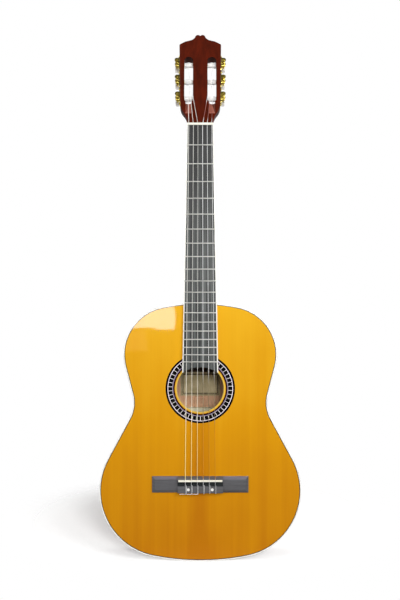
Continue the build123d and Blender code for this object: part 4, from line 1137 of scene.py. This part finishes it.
@dataclass(frozen=True)
class TuningMachines:
    """One side's plate with its worms, gears, rollers and buttons."""

    guitar: Guitar
    side: Side
    roller_radius: float = 4.65
    roller_bore: float = 2.0
    end_chamfer: float = 0.4
    wound_rise: float = 0.3  # string on a roller stands at least this far out of it
    screw_radius: float = 2.3
    screw_height: float = 1.4
    screw_slot: Pair = (8.0, 0.6)  # length and width
    screw_turns: Pair = (40.0, 55.0)  # of the first slot, and from each to the next
    dome_angles: tuple[float, ...] = (0.0, 15.0, 30.0, 45.0, 60.0, 75.0)
    ring_sides: int = 16
    screw_places: tuple[float, ...] = (-9.4, 20.6, 55.6, 86.0)
    plate_face: float = -4.1  # of the plate's outer face from the gear's middle
    # diameters of the strings, from the nut upwards
    bass_widths: Triple = (1.10, 0.92, 0.76)
    treble_widths: Triple = (0.72, 0.82, 1.02)

    def roller(self, number: int) -> None:
        """Builds one roller with its turns of string.

        Args:
            number: place of the roller from the nut, from 1 to 3.
        """
        tag = f"{number}_{self.side.value}"
        node = self.guitar.nodes[f"roller_{tag}"]
        foot, axis = self.guitar.pivot(f"roller_turn_{tag}")
        heights, wound = [], []
        for vertex in node.data.vertices:
            arm = vertex.co - foot
            height = arm.dot(axis)
            heights.append(height)
            if (arm - height * axis).length > (self.roller_radius + self.wound_rise) * MM:
                wound.append(height)
        radius, bore = self.roller_radius * MM, self.roller_bore * MM
        low, high = min(heights), max(heights)
        edge = self.end_chamfer * MM
        profile = [(bore, low), (radius - edge, low), (radius, low + edge)]
        profile += [(radius, high - edge), (radius - edge, high), (bore, high)]
        sleeve = lathe(f"roller_sleeve_{tag}", profile, foot, axis, closed=True)
        self.guitar.dress(sleeve, "moulded_roller_plastic")
        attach(sleeve, f"gear_{tag}")
        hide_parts(node.name)
        wound_side = self.side is Side.BASS
        widths = self.bass_widths if wound_side else self.treble_widths
        half = widths[number - 1] * MM / 2
        start, end = min(wound), max(wound)
        count = round((end - start) / (2 * half))
        angles = [2 * math.pi * step / self.ring_sides for step in range(self.ring_sides)]
        turns = bmesh.new()
        for turn in range(count):
            middle = start + (turn + 0.5) * (end - start) / count
            loop = [
                (radius + half * (1 + math.cos(angle)), middle + half * math.sin(angle))
                for angle in angles
            ]
            ring = lathe("turn", loop, foot, axis, closed=True)
            turns.from_mesh(ring.data)
            bpy.data.objects.remove(ring)
        coil = to_object(f"string_turns_{tag}", turns, crease=60.0)
        self.guitar.dress(coil, "silvered_winding" if wound_side else "clear_nylon")
        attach(coil, f"gear_{tag}")

    def screws(self) -> None:
        """Builds the plate's slotted round-head screws over the plain ones."""
        first, axis = self.guitar.pivot(f"roller_turn_1_{self.side.value}")
        last, _ = self.guitar.pivot(f"roller_turn_3_{self.side.value}")
        up = (last - first).normalized()
        radius, height = self.screw_radius * MM, self.screw_height * MM
        angles = [math.radians(angle) for angle in self.dome_angles]
        dome = [(radius * math.cos(angle), height * math.sin(angle)) for angle in angles]
        length, width = (size * MM for size in self.screw_slot)
        start, step = self.screw_turns
        heads = bmesh.new()
        for number, place in enumerate(self.screw_places):
            foot = first + place * MM * up + self.plate_face * MM * axis
            head = lathe("head", [(0.0, 0.0), *dome, (0.0, height)], foot, axis)
            slot = Matrix.Rotation(math.radians(start + step * number), 3, axis) @ up
            edges = (slot * length, axis.cross(slot) * width, axis * height)
            carve(head, brick("slot", foot + height * axis, edges))
            heads.from_mesh(head.data)
            bpy.data.objects.remove(head)
        piece = to_object(f"slotted_screws_{self.side.value}", heads)
        self.guitar.dress(piece, "gold_plated_brass")
        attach(piece, "root")
        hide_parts("plate_screws")

    def dress(self) -> None:
        """Finishes this side's machines."""
        side = self.side.value
        self.guitar.dress(f"tuner_plate_{side}", "gold_plated_brass")
        for number in (1, 2, 3):
            for part in ("worm", "gear"):
                self.guitar.dress(f"{part}_{number}_{side}", "gold_plated_brass")
            self.guitar.dress(f"button_{number}_{side}", "pearloid_button")
            self.roller(number)
        self.screws()


# Studio ----------------------------------------
@dataclass(frozen=True)
class Lamp:
    """A soft rectangular light."""

    name: str
    place: Triple
    target: Triple
    size: Pair
    power: float
    colour: str = "#ffffff"

    def hang(self) -> None:
        """Adds the light to the scene."""
        data = bpy.data.lights.new(self.name, "AREA")
        data.shape = "RECTANGLE"
        data.size, data.size_y = self.size
        data.energy = self.power
        data.color = linear(self.colour)[:3]
        light = bpy.data.objects.new(self.name, data)
        light.location = self.place
        aim = Vector(self.target) - Vector(self.place)
        light.rotation_euler = aim.to_track_quat("-Z", "Y").to_euler()
        bpy.context.scene.collection.objects.link(light)


@dataclass(frozen=True)
class Studio:
    """Pale floor, white surround, soft lights and the camera."""

    floor_place: Triple = (0.0, 0.33, 0.0)
    floor_radius: float = 0.45
    floor_fade: float = 0.2  # radius in metres at which the floor starts to melt away
    floor_colour: str = "#f4f3f2"
    surround: float = 0.9  # of the white sheet beside and behind the guitar
    room: float = 0.08  # of the darker room that the guitar faces
    doorway: Pair = (-0.5, 0.3)  # from room to sheet, by the Y of the direction
    camera_place: Triple = (-0.0005, -1.5, 0.478)
    lens: float = 49.2
    lamps: tuple[Lamp, ...] = (
        Lamp("key_softbox", (1.4, -2.1, 1.6), (0.0, 0.0, 0.5), (1.2, 1.2), 44.0),
        Lamp("fill_softbox", (-1.8, -1.9, 1.0), (0.0, 0.0, 0.4), (1.4, 1.6), 20.0),
        Lamp("front_softbox", (0.3, -2.1, 0.78), (0.0, 0.0, 0.35), (0.4, 0.4), 18.0),
        Lamp("top_softbox", (0.0, 0.4, 2.6), (0.0, 0.0, 0.4), (1.6, 1.2), 12.0),
        Lamp("back_softbox", (0.4, 2.4, 1.2), (0.0, 0.0, 0.5), (1.6, 1.6), 22.0),
        # A far window and a warm wall, which the varnish of the upper bout mirrors.
        Lamp("window", (-0.27, -3.0, 0.42), (-0.09, 0.0, 0.45), (0.25, 0.2), 1.3),
        Lamp("wall_glow", (-0.4, -3.0, 0.25), (-0.12, 0.0, 0.4), (0.22, 0.1), 0.09, "#ffcf9a"),
    )

    def floor(self) -> None:
        """Lays a pale disc that fades into the white surround."""
        mesh = bmesh.new()
        bmesh.ops.create_circle(mesh, cap_ends=True, segments=96, radius=self.floor_radius)
        piece = to_object("pale_floor", mesh)
        piece.location = self.floor_place
        material = bpy.data.materials.new("pale_floor_paper")
        material.use_nodes = True
        net = Net(material.node_tree)
        net.tree.nodes.clear()
        place = net.add("TexCoord").outputs["Object"]
        away = net.add("VectorMath", (place,), operation="LENGTH").outputs["Value"]
        feeds = (away, self.floor_fade, self.floor_radius, 0.0, 1.0)
        fade = net.add("MapRange", feeds, interpolation_type="SMOOTHSTEP").outputs[0]
        coat = {"Color": linear(self.floor_colour), "Roughness": 1.0}
        paint = net.add("BsdfDiffuse", coat).outputs[0]
        clear = net.add("BsdfTransparent").outputs[0]
        mixed = net.add("MixShader", (fade, paint, clear)).outputs[0]
        net.add("OutputMaterial", {"Surface": mixed})
        cover(piece, material)

    def sky(self) -> None:
        """Sets a surround that is white to the eye and gentler on the object."""
        world = bpy.data.worlds.new("white_surround")
        bpy.context.scene.world = world
        world.use_nodes = True
        net = Net(world.node_tree)
        net.tree.nodes.clear()
        rays = net.add("LightPath").outputs
        feeds = (rays["Is Camera Ray"], rays["Is Transmission Ray"])
        seen = net.add("Math", feeds, operation="MAXIMUM").outputs[0]
        toward = net.add("TexCoord").outputs["Generated"]
        depth = net.add("SeparateXYZ", (toward,)).outputs["Y"]
        feeds = (depth, *self.doorway, self.room, self.surround)
        room = net.add("MapRange", feeds, interpolation_type="SMOOTHSTEP").outputs[0]
        strength = net.add("Mix", {0: seen, 2: room, 3: 1.0}, data_type="FLOAT").outputs[0]
        glow = net.add("Background", {"Color": linear("#ffffff"), "Strength": strength})
        net.add("OutputWorld", {"Surface": glow.outputs[0]})

    def camera(self) -> None:
        """Sets the camera level with the soundhole, looking square at the top."""
        data = bpy.data.cameras.new("camera")
        data.lens = self.lens
        data.sensor_width = 36.0
        data.clip_start = 0.05
        camera = bpy.data.objects.new("camera", data)
        camera.location = self.camera_place
        camera.rotation_euler = (math.radians(90), 0.0, 0.0)
        bpy.context.scene.collection.objects.link(camera)
        bpy.context.scene.camera = camera

    def set_up(self) -> None:
        """Builds the studio."""
        self.floor()
        self.sky()
        self.camera()
        for lamp in self.lamps:
            lamp.hang()
        bpy.context.scene.view_settings.view_transform = "Standard"


def main() -> None:
    """Builds and dresses the guitar piece by piece."""
    logging.basicConfig(level=logging.INFO, format="%(name)s: %(message)s")
    guitar = Guitar.load()
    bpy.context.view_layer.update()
    for assembly in (SoundBox, Rosette, Neck, Bridge, Strings):
        assembly(guitar).dress()
        LOG.info("%s dressed", assembly.__name__)
    for side in Side:
        TuningMachines(guitar, side).dress()
        LOG.info("TuningMachines dressed on the %s side", side.value)
    Studio().set_up()
    LOG.info("Studio set up")
    LOG.info("sizes written")


if __name__ == "__main__":
    main()
